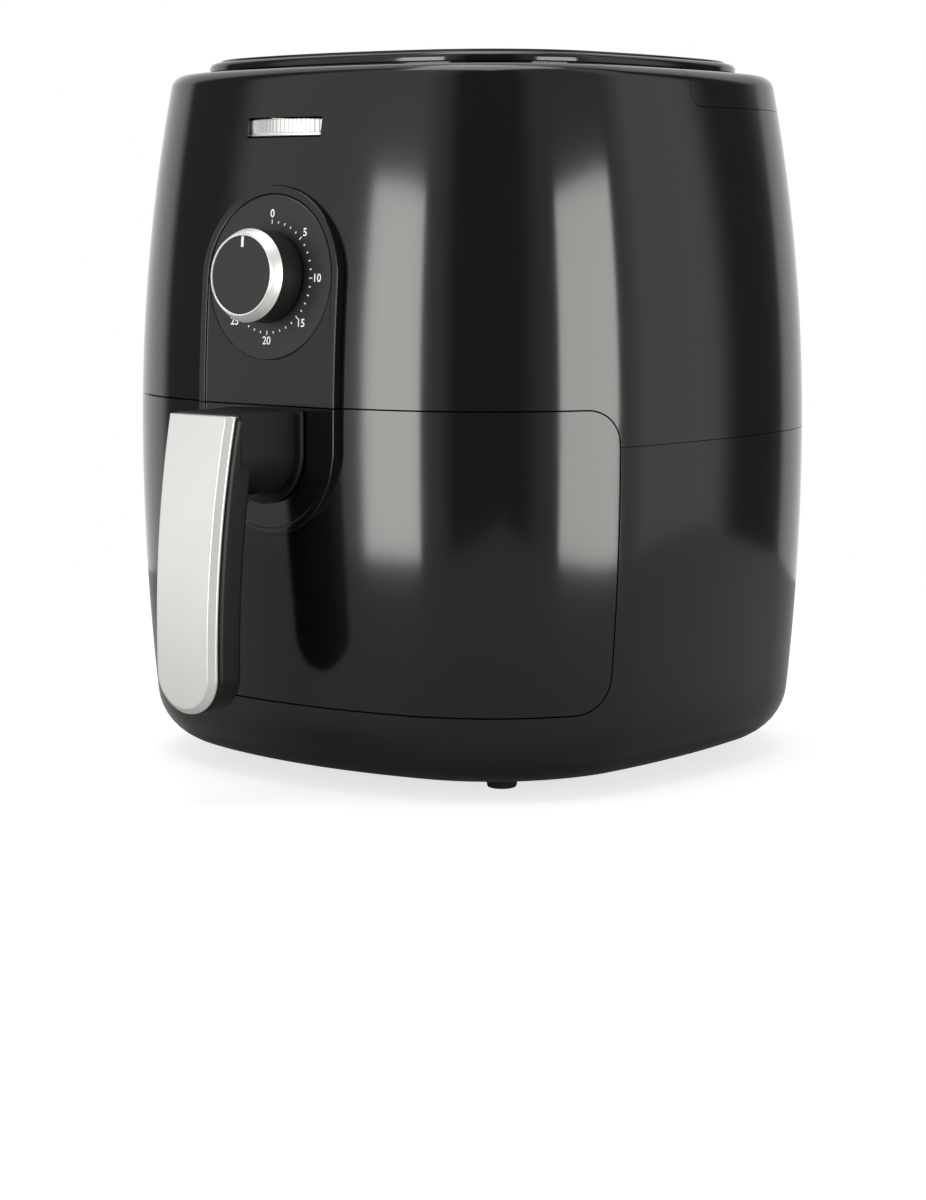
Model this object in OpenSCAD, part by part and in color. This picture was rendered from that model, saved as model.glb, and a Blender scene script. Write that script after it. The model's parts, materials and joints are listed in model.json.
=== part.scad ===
// Basket air fryer: bowed four-sided housing, pull-out drawer with pan and crisper plate,
// mechanical timer and thumbwheel thermostat, fan-forced heater above the pan.
// Floor at z = 0, front faces -Y, millimetres. The housing's own axis stands at axis_y.

/* [Housing] */
// Width of the housing at its widest level
body_w = 290; // [260:1:340]
// Depth of the housing at its widest level
body_d = 290; // [260:1:340]
// Height of the shoulder above the floor
body_top = 321; // [300:1:370]
// Height of the underside above the floor
underside_z = 6; // [5:0.5:8]
// Height of the parting line, where the housing is widest
seam_z = 155; // [150:1:162]
// Plan radius of the four corners
corner_r = 100; // [90:1:110]
// Plan radius of the bowed side walls
side_r = 450; // [400:5:550]
// Plan radius of the bowed front and rear walls
front_r = 275; // [250:5:330]
// Radius that the walls lean in along above the parting line
upper_crown = 874; // [750:1:1000]
// Radius that the walls lean in along below the parting line
lower_crown = 1210; // [1000:10:1400]
// Radius of the shoulder edge
shoulder_r = 7; // [4:0.5:8]
// Radius of the bottom edge
bottom_r = 26; // [22:0.5:28]
// Thickness of the moulded shells
wall = 2.6; // [2:0.1:3]
// Gap along the parting lines of the fixed mouldings
seam_gap = 0.3; // [0.2:0.05:0.4]
// Width of the skirt band of the top cover round the rear
skirt_h = 12; // [9:0.5:16]
// Place along Y where that skirt band starts
skirt_y = -7; // [-20:1:10]
// How far the lid panel is set in from the widest outline
lid_inset = 33; // [31:0.5:40]
// Thickness of the lid panel at its rim
lid_t = 4.3; // [3:0.1:6]
// Rise of the lid's raised field above its rim
lid_rise = 1.4; // [1:0.1:4]
// Shadow gap under the overhanging lid rim
lid_gap = 1.3; // [0.8:0.1:2]

/* [Controls] */
// Half width of the raised fascia strip
fascia_r = 40.5; // [39:0.5:44]
// How far the fascia stands out of the front
fascia_rise = 1.6; // [1:0.1:2.5]
// Height of the timer dial's centre
dial_z = 228; // [220:1:236]
// Radius of the dial plate
dial_r = 36.5; // [34:0.5:38]
// Lean of the dial and the timer behind it, in degrees
dial_tilt = 4.5; // [0:0.5:5]
// Radius of the knob's skirt
knob_r = 20.3; // [17:0.1:22]
// Depth of the knob from the dial plate to its cap
knob_d = 18.6; // [15:0.1:22]
// Radius of the timer and thermostat spindles
spindle_r = 3; // [2.5:0.1:3.5]
// Radius of the temperature thumbwheel
wheel_r = 46; // [42:0.5:50]
// Height of the middle of the thumbwheel
wheel_z = 294.2; // [292:0.1:296]
// Thickness of the thumbwheel
wheel_t = 7.3; // [6:0.1:8]
// How far the thumbwheel stands out of its slot
wheel_out = 1.8; // [1:0.1:2.5]

/* [Drawer] */
// Place along Y of the drawer front's side edges
drawer_y = -69; // [-75:1:-66]
// Height of the drawer front's lower edge
drawer_low = 38; // [36:0.5:40]
// Height of the drawer front's upper edge
drawer_high = 172; // [170:0.5:174]
// Radius of the drawer front's corners
drawer_r = 16; // [12:0.5:20]
// Gap round the drawer front
drawer_gap = 0.7; // [0.5:0.05:1]
// Outside radius of the pan
pan_r = 117; // [108:0.5:119]
// Half width over the pan's flat sides
pan_flat = 112; // [104:0.5:114]
// Height of the pan's underside
pan_z = 46; // [45:0.5:50]
// Sheet thickness of the pan
pan_t = 1.2; // [1:0.1:2]
// Height of the pan's rolled rim
rim_z = 167; // [160:0.5:168]
// Width of the pan's rolled rim
rim_w = 2.5; // [1.5:0.1:3]
// Height of the crisper plate's top
plate_z = 61.5; // [58:0.5:70]
// Clearance between the crisper plate and the pan's wall
plate_gap = 3.6; // [2:0.1:5]

/* [Handle] */
// Reach of the grip's face from the housing's axis
grip_reach = 199.2; // [190:0.2:206]
// Radius that the grip's face bows along
grip_bow = 460; // [400:5:600]
// Height of the outermost point of the grip's face
grip_mid_z = 71; // [60:1:90]
// Half width of the grip at its top
grip_top_w = 19.7; // [18:0.1:22]
// Half width of the grip at its rounded end
grip_end_w = 18; // [16:0.1:20]
// Height of the grip's lower end
grip_low = 40; // [38:0.5:46]
// Depth of the whole grip, insert included
grip_d = 19; // [16:0.5:22]
// Thickness of the metal-look insert
insert_t = 3.8; // [3:0.1:5]
// Half width of the neck that joins the grip to the drawer
neck_w = 20; // [18:0.5:21]
// Half width of the flange at the neck's root
root_w = 24; // [22:0.5:26]

/* [Heater and fan] */
// Radius of the fan and heater hood
hood_r = 98; // [94:0.5:100]
// Height of the plate over the drawer bay
bay_top = 178; // [176:0.5:182]
// Height of the hood above that plate
hood_h = 27; // [24:0.5:30]
// Sheet thickness of the metal parts
sheet = 1; // [0.8:0.1:1.5]
// Radius of the motor shaft
shaft_r = 3; // [2.5:0.1:4]
// Radius of the hot air fan
fan_r = 52; // [46:0.5:54]
// Radius of the heating tube
tube_r = 3.2; // [2.8:0.1:3.6]
// Radius of the element's outer turn
element_r = 76; // [72:0.5:80]

/* [Fits] */
// Radial play of a turning shaft in its bearing
run_fit = 0.05; // [0.02:0.01:0.1]
// Radial play of a piece fixed on its shaft
hub_fit = 0.02; // [0.01:0.01:0.05]
// Gap between a piece and the seat it rests on
seat = 0.2; // [0.1:0.05:0.3]
// Radius of the screws
screw_r = 1.9; // [1.5:0.1:2.5]

/* [Hidden] */
$fn = 96;
far = 400;
huge_fn = 256;

half_w = body_w / 2;
half_d = body_d / 2;
axis_y = (grip_reach - half_d) / 2;

// Plan outline: eight tangent arcs, each [centre, radius, first angle, sweep].
side_c = half_w - side_r;
rear_c = half_d - front_r;
span = norm([side_c, rear_c]);
toward = [-side_c, rear_c] / span;
along = ((side_r - corner_r) ^ 2 - (front_r - corner_r) ^ 2 + span ^ 2) / (2 * span);
across = sqrt((side_r - corner_r) ^ 2 - along ^ 2);
corner_c = [side_c, 0] + along * toward + across * [-toward[1], toward[0]];
side_a = atan2(corner_c[1], corner_c[0] - side_c);
rear_a = atan2(corner_c[0], corner_c[1] - rear_c);
corner_a = 90 - side_a - rear_a;
ARCS = [
  [[side_c, 0], side_r, -side_a, 2 * side_a],
  [corner_c, corner_r, side_a, corner_a],
  [[0, rear_c], front_r, 90 - rear_a, 2 * rear_a],
  [[-corner_c[0], corner_c[1]], corner_r, 90 + rear_a, corner_a],
  [[-side_c, 0], side_r, 180 - side_a, 2 * side_a],
  [-corner_c, corner_r, 180 + side_a, corner_a],
  [[0, -rear_c], front_r, 270 - rear_a, 2 * rear_a],
  [[corner_c[0], -corner_c[1]], corner_r, 270 + rear_a, corner_a]];
// How far each sweep runs on past its sector, in degrees, and how much the corner sweeps stand proud.
lap_a = 2;
hair = 0.06;
ALL_ROUND = [0, 1, 2, 3, 4, 5, 6, 7];
FRONT_ROUND = [5, 6, 7];

// How far the wall has leaned in at height z.
function lean(z) = z > seam_z
  ? upper_crown - sqrt(upper_crown ^ 2 - (z - seam_z) ^ 2)
  : lower_crown - sqrt(lower_crown ^ 2 - (z - seam_z) ^ 2);
// Height range and depth of the lips that turn in at the shoulder and the underside.
shoulder_lip = 28;
base_lip = 38;
skirt_low = body_top - shoulder_r - skirt_h + 2;

dial_sink = 1.6;
dial_y = -(half_d - lean(dial_z) + fascia_rise) + dial_sink;
fascia_back = 4.4;
knob_gap = 0.5;
timer_gap = 8;
timer_w = 56;
timer_d = 26;
wheel_y = -(half_d - lean(wheel_z)) - wheel_out + wheel_r;
wheel_low = wheel_z - wheel_t / 2;
wheel_high = wheel_z + wheel_t / 2;
slot_w = 22;
slot_h = 9;
deck_under = body_top - wall;

pan_in = pan_r - pan_t;
liner_r = pan_r + rim_w + 1.5;
liner_z = 40;
frame_y = drawer_y + 2.5;
frame_t = 1.5;
rail_top = pan_z - seat;
flange_t = 3;
flange_z = rim_z - flange_t;
inner_low = drawer_low + 5;
panel_t = 2.2;
plate_r = pan_in - plate_gap;
plate_flat = pan_flat - pan_t - plate_gap;
plate_t = 1.5;
skirt_t = 1.5;
post_xy = [85, 50];
foot_xy = [78, 76];
foot_r = 7.5;

neck_top = drawer_high - 2;
neck_z = neck_top - 18;
grip_c = [-grip_reach + grip_bow, grip_mid_z];
hood_z = bay_top + 1.5;
hood_top = hood_z + hood_h;
element_z = hood_z + 11;
inner_turn = element_r - 14;
guard_r = 1.2;
bracket_z = hood_top + 20;
bracket_t = 2.5;
bearing_h = 7;
stator_z = bracket_z + bracket_t + bearing_h;
stator_h = 20;
rotor_r = 15.5;
vent_z = 216;
vent_w = 78;
vent_h = 52;
gland_z = 48;
fuse_xy = [0, 80];
switch_x = 126;
switch_z = 150;
plunger_r = 1.5;
tab_w = 8;

// ---- shared shapes -------------------------------------------------------

// Moves a piece from the housing's own axis to its place in the frame.
module placed() {
  translate([0, axis_y, 0]) children();
}

// Point far out on the line that parts arc i from the arc after it.
function parting(i) =
  let (n = (i + 8) % 8, e = n % 2 == 0 ? n : (n + 1) % 8, a = ARCS[e][2] + (n % 2 == 0 ? ARCS[e][3] : 0))
  ARCS[e][0] + 2 * ARCS[e][1] * [cos(a), sin(a)];

// Sector of the plan that arc i runs through, between its two parting lines.
function sector(i) = i % 2 == 0
  ? [ARCS[(i + 7) % 8][0], parting(i - 1), parting(i), ARCS[i + 1][0]]
  : [ARCS[i][0], parting(i - 1), parting(i)];

// Sweeps a wall section along the chosen arcs; x = 0 is the outer face at the widest level.
// Neighbouring sweeps end on the same plane, and the corners stand a hair proud there, out and up or
// down, so that they fuse.
module swept(arcs, up = 1) {
  for (i = arcs)
    intersection() {
      translate([ARCS[i][0][0], ARCS[i][0][1], 0])
        rotate([0, 0, ARCS[i][2] - lap_a])
          rotate_extrude(angle = ARCS[i][3] + 2 * lap_a, $fn = huge_fn)
            translate([ARCS[i][1], 0] + i % 2 * hair * [1, up]) children();
      linear_extrude(far) polygon(sector(i));
    }
}

// Solid side of a wall that leans in along one radius and ends in a rounded edge.
module half_section(crown, edge, rise, inset, depth) {
  ch = rise - edge;
  cu = sqrt((crown - edge) ^ 2 - ch ^ 2) - crown;
  past = [cu, ch] + 3 * edge * [cu + crown, ch] / (crown - edge);
  intersection() {
    translate([-crown, 0]) circle(crown - inset, $fn = 1024);
    polygon([[-depth, 0], [edge, 0], past, [cu, ch], [-depth, ch]]);
  }
  intersection() {
    translate([cu, ch]) circle(edge - inset);
    polygon([[cu, ch], past, [cu, rise + edge]]);
  }
  translate([-depth, ch]) square([cu + depth, edge - inset]);
}

// Wall section of the upper shell, turned in at the shoulder.
module upper_wall(depth) {
  translate([0, seam_z]) difference() {
    half_section(upper_crown, shoulder_r, body_top - seam_z, 0, depth);
    half_section(upper_crown, shoulder_r, body_top - seam_z, wall, depth + 1);
  }
}

// Wall section of the lower shell, turned in at the underside.
module lower_wall(depth) {
  translate([0, seam_z]) mirror([0, 1]) difference() {
    half_section(lower_crown, bottom_r, seam_z - underside_z, 0, depth);
    half_section(lower_crown, bottom_r, seam_z - underside_z, wall, depth + 1);
  }
}

// Plan outline moved in by inset.
module plan(inset) {
  for (i = [0:2:6]) {
    intersection() {
      translate(ARCS[i][0]) circle(ARCS[i][1] - inset, $fn = 1024);
      polygon(sector(i));
    }
    translate(ARCS[i + 1][0]) circle(corner_r + hair - inset, $fn = huge_fn);
  }
  square(2 * corner_c, center = true);
}

module rounded(w, h, r) {
  square([w - 2 * r, h], center = true);
  square([w, h - 2 * r], center = true);
  for (x = [-1, 1], y = [-1, 1])
    translate([x * (w / 2 - r), y * (h / 2 - r)]) circle(r);
}

// Runs a (y, z) outline along X.
module along_x(half) {
  translate([-half, 0, 0]) rotate([90, 0, 90]) linear_extrude(2 * half) children();
}

// Runs an (x, z) outline along Y, from y0 back to y1.
module along_y(y0, y1) {
  translate([0, y1, 0]) rotate([90, 0, 0]) linear_extrude(y1 - y0) children();
}

// Block that the drawer front fills, smaller all round by gap.
module drawer_block(gap) {
  low = drawer_low + gap;
  high = drawer_high - gap;
  edge = drawer_y - gap;
  r = drawer_r - gap;
  along_x(body_w) {
    translate([-far, low]) square([far + edge - r, high - low]);
    translate([-far, low + r]) square([far + edge, high - low - 2 * r]);
    for (z = [low + r, high - r])
      translate([edge - r, z]) circle(r);
  }
}

// Outline of the raised strip: round at the dial, round below the handle's root.
module fascia_outline(grow) {
  low = neck_z + 2;
  for (z = [low, dial_z])
    translate([0, z]) circle(fascia_r + grow);
  translate([-fascia_r - grow, low]) square([2 * (fascia_r + grow), dial_z - low]);
}

// Slab with the front's own lean, from out in front of it to back behind it.
module front_slab(out, back, half) {
  along_x(half) {
    intersection() {
      translate([-half_d + upper_crown, seam_z]) difference() {
        circle(upper_crown + out, $fn = 1024);
        circle(upper_crown - back, $fn = 1024);
      }
      translate([-half_d - 20, seam_z]) square([60, far]);
    }
    intersection() {
      translate([-half_d + lower_crown, seam_z]) difference() {
        circle(lower_crown + out, $fn = 1024);
        circle(lower_crown - back, $fn = 1024);
      }
      translate([-half_d - 20, 0]) square([60, seam_z]);
    }
  }
}

// The timer's own frame: y = 0 at the back of the dial plate, -y out of the front.
module at_dial() {
  translate([0, dial_y, dial_z]) rotate([-dial_tilt, 0, 0]) children();
}

// Round bar along Y between two places.
module bar_y(r, y0, y1) {
  translate([0, y1, 0]) rotate([90, 0, 0]) cylinder(h = y1 - y0, r = r);
}

module ring_2d(outer, inner) {
  difference() {
    circle(outer);
    circle(inner);
  }
}

module torus(r, tube) {
  rotate_extrude() translate([r, 0]) circle(tube, $fn = 48);
}

// Pan outline: a circle with two flat sides.
module pan_outline(r, flat) {
  intersection() {
    circle(r, $fn = huge_fn);
    square([2 * flat, 2 * r + 2], center = true);
  }
}

// ---- housing ---------------------------------------------------------------

module upper_housing() {
  color("#2b2b2d") placed() difference() {
    swept(ALL_ROUND) intersection() {
      upper_wall(shoulder_lip);
      translate([-far / 4, seam_z + seam_gap]) square([far, far]);
    }
    drawer_block(0);
    along_x(body_w) {
      translate([skirt_y + 6, skirt_low]) square([far, far]);
      translate([skirt_y, skirt_low + 6]) square([far, far]);
      translate([skirt_y + 6, skirt_low + 6]) circle(6);
    }
    along_y(-far, 0) fascia_outline(0.2);
    translate([-slot_w, -far, wheel_z - slot_h / 2]) cube([2 * slot_w, far, slot_h]);
    translate([0, wheel_y, wheel_z - slot_h / 2]) cylinder(h = slot_h, r = wheel_r + 2, $fn = huge_fn);
    along_y(0, far) translate([0, vent_z]) rounded(vent_w + 0.4, vent_h + 0.4, 8);
  }
}

module lower_housing() {
  color("#29292b") placed() difference() {
    swept(ALL_ROUND, up = -1) intersection() {
      lower_wall(base_lip);
      translate([-far / 4, 0]) square([far, seam_z]);
    }
    drawer_block(0);
    translate([0, 0, gland_z]) bar_y(6 + seat / 2, 0, far);
  }
}

module base_cover() {
  color("#232325") placed() difference() {
    union() {
      translate([0, 0, underside_z]) linear_extrude(wall) plan(base_lip + seam_gap);
      translate([0, 0, underside_z + wall + seat / 2]) linear_extrude(2) plan(base_lip - 4);
      translate([0, 0, underside_z + wall - 1]) linear_extrude(2) plan(base_lip + 2);
      for (x = [-1, 1], y = [-1, 1])
        translate([x * post_xy[0], y * post_xy[1], underside_z])
          cylinder(h = liner_z - underside_z, r = 6);
    }
    for (x = [-1, 1], y = [-1, 1])
      translate([x * post_xy[0], y * post_xy[1], 0]) {
        cylinder(h = 60, r = screw_r + seat / 2);
        cylinder(h = underside_z + 4, r = 2 * screw_r);
      }
    for (x = [-1, 1], i = [-3:3])
      translate([x * 32 - 20, i * 12 - 2, 0]) cube([40, 4, 20]);
  }
}

module rubber_feet() {
  color("#151516") placed()
    for (x = [-1, 1], y = [-1, 1])
      translate([x * foot_xy[0], y * foot_xy[1], 0]) cylinder(h = underside_z, r1 = foot_r - 1, r2 = foot_r);
}

module top_cover() {
  color("#262628") placed() {
    intersection() {
      swept(ALL_ROUND) upper_wall(shoulder_lip + 6);
      along_x(body_w) {
        g = seam_gap;
        translate([skirt_y + 6 + g, skirt_low + g]) square([far, far]);
        translate([skirt_y + g, skirt_low + 6 + g]) square([far, far]);
        translate([skirt_y + 6 + g, skirt_low + 6 + g]) circle(6);
      }
    }
    translate([0, 0, deck_under]) linear_extrude(wall) plan(shoulder_lip + seam_gap);
  }
}

module lid_panel() {
  rim = body_top + lid_gap;
  color("#1d1d1f") placed() {
    translate([0, 0, body_top]) linear_extrude(lid_gap) plan(lid_inset + 7);
    translate([0, 0, rim]) linear_extrude(lid_t) plan(lid_inset);
    translate([0, 0, rim + lid_t]) linear_extrude(lid_rise) plan(lid_inset + 5);
  }
}

module rear_vent_grille() {
  slot = [29, 4.4];
  color("#1f1f21") placed() difference() {
    intersection() {
      swept([2]) translate([0, seam_z]) difference() {
        half_section(upper_crown + 0.6, shoulder_r, body_top - seam_z, 0, 20);
        half_section(upper_crown + 0.6, shoulder_r, body_top - seam_z, wall + 0.8, 21);
      }
      along_y(0, far) translate([0, vent_z]) rounded(vent_w, vent_h, 8);
    }
    along_y(0, far)
      for (x = [-1, 1], i = [-2:2])
        translate([x * 17.5, vent_z + i * 9]) rounded(slot[0], slot[1], slot[1] / 2 - 0.01);
  }
}

module cord_gland() {
  face = half_d - lean(gland_z + 9) + 0.1;
  color("#1a1a1b") placed() translate([0, 0, gland_z]) difference() {
    union() {
      bar_y(6, face - 12, face + 1);
      bar_y(9, face, face + 2.4);
    }
    bar_y(3.6, 0, far);
  }
}

// ---- controls --------------------------------------------------------------

module control_fascia() {
  color("#303032") placed() difference() {
    union() {
      intersection() {
        front_slab(fascia_rise, fascia_back, fascia_r + 2);
        along_y(-far, 0) intersection() {
          fascia_outline(0);
          translate([-far, drawer_high]) square([2 * far, far]);
        }
      }
      at_dial() for (x = [-1, 1])
        translate([x * 24, 0, -24]) bar_y(4, 2, timer_gap);
    }
    at_dial() bar_y(dial_r + 0.2, -20, seat);
    at_dial() bar_y(spindle_r + 1.5, -20, 30);
    at_dial() for (x = [-1, 1])
      translate([x * 24, 0, -24]) bar_y(screw_r, 2.5, 30);
  }
}

module dial_plate() {
  color("#2c2c2e") placed() at_dial() difference() {
    bar_y(dial_r, -1, 0);
    bar_y(spindle_r + 1, -5, 5);
  }
}

module timer_knob() {
  color("#161617") placed() at_dial() difference() {
    bar_y(knob_r, 4 - knob_d, -1 - knob_gap);
    bar_y(spindle_r + hub_fit, -knob_d, 5);
  }
}

module knob_ring() {
  front = -knob_d - 1;
  color("#c9cacb") placed() at_dial() rotate([90, 0, 0]) difference() {
    translate([0, 0, knob_d - 4]) cylinder(h = 5, r1 = knob_r + 0.3, r2 = knob_r - 2.6);
    translate([0, 0, 0]) cylinder(h = -front + 5, r = knob_r - 3.1);
  }
}

module knob_cap() {
  color("#38383a") placed() at_dial() {
    bar_y(knob_r - 3.1 - hub_fit, -knob_d - 0.6, 4 - knob_d);
    translate([-0.7, -knob_d - 0.9, knob_r - 8.2]) cube([1.4, 1, 4.8]);
  }
}

module timer_spindle() {
  color("#b8b9ba") placed() at_dial() bar_y(spindle_r, 4 - knob_d, timer_gap + timer_d + 4);
}

module timer_body() {
  front = timer_gap + 1.5;
  color("#c9b58a") placed() at_dial() difference() {
    translate([-timer_w / 2, front, -timer_w / 2]) cube([timer_w, timer_d, timer_w]);
    bar_y(spindle_r + run_fit, 0, far);
    for (x = [-1, 1])
      translate([x * 24, 0, -24]) bar_y(screw_r, 0, front + 6);
  }
}

module timer_bracket() {
  color("#b5b7b9") placed() at_dial() difference() {
    translate([-32, timer_gap, -32]) cube([64, 1.5, 64]);
    bar_y(spindle_r + 1, 0, 30);
    for (x = [-1, 1])
      translate([x * 24, 0, -24]) bar_y(screw_r + 0.1, 0, 30);
  }
}

module timer_bell() {
  back = timer_gap + 1.5 + timer_d;
  color("#9fa2a5") placed() at_dial() difference() {
    bar_y(18, back, back + 8);
    bar_y(16.8, back + sheet, back + 20);
    bar_y(spindle_r + 1, 0, far);
  }
}

module temperature_wheel() {
  color("#c4c5c6") placed() translate([0, wheel_y, 0]) difference() {
    union() {
      translate([0, 0, wheel_low + 1.2]) cylinder(h = wheel_t - 1.2, r = wheel_r, $fn = huge_fn);
      translate([0, 0, wheel_low]) cylinder(h = 1.2, r = wheel_r + 0.6, $fn = huge_fn);
    }
    translate([0, 0, wheel_low - 1]) cylinder(h = far, r = spindle_r + hub_fit);
    for (i = [0:5])
      rotate([0, 0, 60 * i + 30]) translate([25, 0, wheel_low - 1]) cylinder(h = far, r = 9);
  }
}

module thermostat_spindle() {
  color("#b8b9ba") placed() translate([0, wheel_y, 0])
    translate([0, 0, wheel_low - 22]) cylinder(h = 22 + wheel_t, r = spindle_r);
}

module thermostat_body() {
  top = wheel_low - 5;
  color("#d8d3c4") placed() translate([0, wheel_y, 0]) difference() {
    translate([0, 0, top - 24]) cylinder(h = 24, r = 15);
    translate([0, 0, wheel_low - 23]) cylinder(h = 30, r = spindle_r + run_fit);
  }
}

module thermostat_bracket() {
  low = wheel_low - 5;
  post = wheel_r + 9;
  color("#b5b7b9") placed() translate([0, wheel_y, 0]) difference() {
    union() {
      translate([-post - 6, -10, low]) cube([2 * post + 12, 20, 2]);
      for (x = [-1, 1])
        translate([x * post, 0, low]) cylinder(h = deck_under - low, r = 4.5);
    }
    translate([0, 0, low - 1]) cylinder(h = 10, r = spindle_r + 1);
  }
}

module thermostat_capillary() {
  color("#b87333") placed() translate([0, wheel_y + 4, hood_top])
    cylinder(h = wheel_low - 29 - hood_top, r = 1, $fn = 48);
}

// ---- drawer bay ------------------------------------------------------------

module bay_plate() {
  color("#a9acaf") placed() difference() {
    translate([0, 0, bay_top]) linear_extrude(1.5) plan(lean(bay_top + 1.5) + wall + seat);
    translate([0, 0, bay_top - 1]) cylinder(h = 5, r = hood_r - 6, $fn = huge_fn);
    translate([-fascia_r - 1, -far, bay_top - 1])
      cube([2 * fascia_r + 2, far - half_d + lean(bay_top + 2) + fascia_back + seat, 5]);
  }
}

module liner_outline(r) {
  circle(r, $fn = huge_fn);
  translate([-r, frame_y + frame_t]) square([2 * r, -frame_y - frame_t]);
}

module cavity_liner() {
  front = frame_y + frame_t;
  color("#9c9fa2") placed() difference() {
    translate([0, 0, liner_z]) linear_extrude(bay_top - liner_z) intersection() {
      liner_outline(liner_r + sheet);
      translate([-far, front]) square([2 * far, far]);
    }
    translate([0, 0, liner_z + sheet]) linear_extrude(far) liner_outline(liner_r);
    translate([-liner_r, front - 40, liner_z + sheet]) cube([2 * liner_r, 42, far]);
    for (x = [-1, 1], y = [-1, 1])
      translate([x * post_xy[0], y * post_xy[1], 0]) cylinder(h = 60, r = screw_r + seat / 2);
  }
}

module bay_frame() {
  w = half_w - 14.5;
  color("#8f9295") placed() difference() {
    translate([-w, frame_y, drawer_low - 1]) cube([2 * w, frame_t, bay_top - drawer_low + 1]);
    translate([-liner_r, frame_y - 1, liner_z + sheet]) cube([2 * liner_r, 10, rim_z + 6 - liner_z]);
    translate([switch_x, 0, switch_z]) bar_y(plunger_r + run_fit, frame_y - 5, 0);
  }
}

module drawer_rails() {
  color("#c6c8ca") placed()
    for (x = [-1, 1])
      translate([x * 66 - 6, frame_y + 4, liner_z + sheet]) cube([12, 150, rail_top - liner_z - sheet]);
}

module bay_screws() {
  color("#8b8d8f") placed()
    for (x = [-1, 1], y = [-1, 1])
      translate([x * post_xy[0], y * post_xy[1], 0]) {
        translate([0, 0, underside_z + 4 - 2]) cylinder(h = 2, r = 2 * screw_r - 0.2);
        translate([0, 0, underside_z + 4 - 2]) cylinder(h = liner_z - underside_z, r = screw_r);
      }
}

// ---- heater, fan and motor ---------------------------------------------------

module heater_hood() {
  color("#b4b7ba") placed() translate([0, 0, hood_z]) difference() {
    union() {
      cylinder(h = hood_h, r = hood_r, $fn = huge_fn);
      cylinder(h = sheet, r = hood_r + 4, $fn = huge_fn);
    }
    translate([0, 0, -1]) cylinder(h = hood_h + 1 - sheet, r = hood_r - sheet, $fn = huge_fn);
    cylinder(h = far, r = shaft_r + 3);
    for (x = [-1, 1])
      translate([x * (inner_turn + 7), 0, 0]) cylinder(h = far, r = tube_r + 0.3);
    rotate([0, 0, 90]) translate([hood_r, 0, 13]) rotate([0, 90, 0]) cylinder(h = 20, r = 9, center = true);
  }
}

module heating_element() {
  color("#5b5a58") placed() translate([0, 0, element_z]) {
    torus(element_r, tube_r);
    torus(inner_turn, tube_r);
    for (x = [-1, 1])
      translate([x * (inner_turn + 7), 0, 0]) {
        rotate([0, 90, 0]) cylinder(h = 14, r = tube_r, center = true);
        cylinder(h = hood_top - element_z + 12, r = tube_r);
      }
  }
}

module element_clips() {
  color("#a5a8ab") placed() difference() {
    for (i = [0:3])
      rotate([0, 0, 90 * i + 45]) translate([inner_turn - 7, -1, element_z])
        cube([28, 2, hood_top - sheet - element_z]);
    translate([0, 0, element_z]) torus(element_r, tube_r + 0.1);
    translate([0, 0, element_z]) torus(inner_turn, tube_r + 0.1);
  }
}

module element_guard() {
  color("#8d9093") placed() translate([0, 0, hood_z + guard_r]) {
    for (r = [26, 44, 62, 80])
      translate([0, 0, 1.6]) torus(r, guard_r);
    for (i = [0:2])
      rotate([0, 0, 60 * i + 30]) rotate([0, 90, 0])
        cylinder(h = 2 * hood_r - 4, r = guard_r, center = true, $fn = 48);
  }
}

module hot_fan() {
  top = hood_top - sheet - 3;
  color("#c0c2c4") placed() difference() {
    union() {
      translate([0, 0, top - 1]) cylinder(h = 1, r = fan_r);
      translate([0, 0, top - 8]) cylinder(h = 8, r = 8);
      for (i = [0:11])
        rotate([0, 0, 30 * i]) translate([18, -0.5, top - 9]) cube([fan_r - 19, 1, 8.5]);
    }
    cylinder(h = far, r = shaft_r + hub_fit);
  }
}

module fan_nut() {
  top = hood_top - sheet - 3 - 8;
  color("#b08d3c") placed() difference() {
    translate([0, 0, top - 4]) cylinder(h = 4, r = 5.5, $fn = 6);
    translate([0, 0, top - 9]) cylinder(h = 20, r = shaft_r + hub_fit);
  }
}

module motor_shaft() {
  low = hood_top - sheet - 3 - 8 - 5;
  color("#d0d2d4") placed() translate([0, 0, low])
    cylinder(h = stator_z + stator_h + bearing_h + 4 - low, r = shaft_r);
}

module cooling_fan() {
  z = hood_top + 4;
  color("#3a3b3d") placed() difference() {
    union() {
      translate([0, 0, z]) cylinder(h = 12, r = 9);
      for (i = [0:6])
        rotate([0, 0, 360 / 7 * i]) translate([7, 0, z + 6]) rotate([28, 0, 0])
          translate([0, -9, -0.8]) cube([46, 18, 1.6]);
    }
    cylinder(h = far, r = shaft_r + hub_fit);
  }
}

module motor_bracket() {
  color("#a3a6a9") placed() difference() {
    union() {
      translate([-82, -82, bracket_z]) cube([164, 164, bracket_t]);
      for (x = [-1, 1], y = [-1, 1])
        translate([x * 76, y * 76, hood_z]) cylinder(h = bracket_z - hood_z + 1, r = 4.5);
    }
    translate([0, 0, bracket_z - 1]) cylinder(h = 9, r = 8);
    for (x = [-1, 1], y = [-1, 1])
      translate([x * 50, y * 50, bracket_z - 1]) cylinder(h = 9, r = 16);
    for (y = [-1, 1])
      translate([0, y * 92, bracket_z - 1]) cylinder(h = 9, r = 34);
  }
}

module motor_bearings() {
  color("#84888b") placed() difference() {
    union() {
      translate([0, 0, bracket_z + bracket_t]) cylinder(h = bearing_h, r = 25);
      translate([0, 0, stator_z + stator_h]) cylinder(h = bearing_h, r = 25);
    }
    cylinder(h = far, r = shaft_r + run_fit);
    translate([0, 0, stator_z - 2]) cylinder(h = stator_h + 4, r = rotor_r + 2);
  }
}

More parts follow.
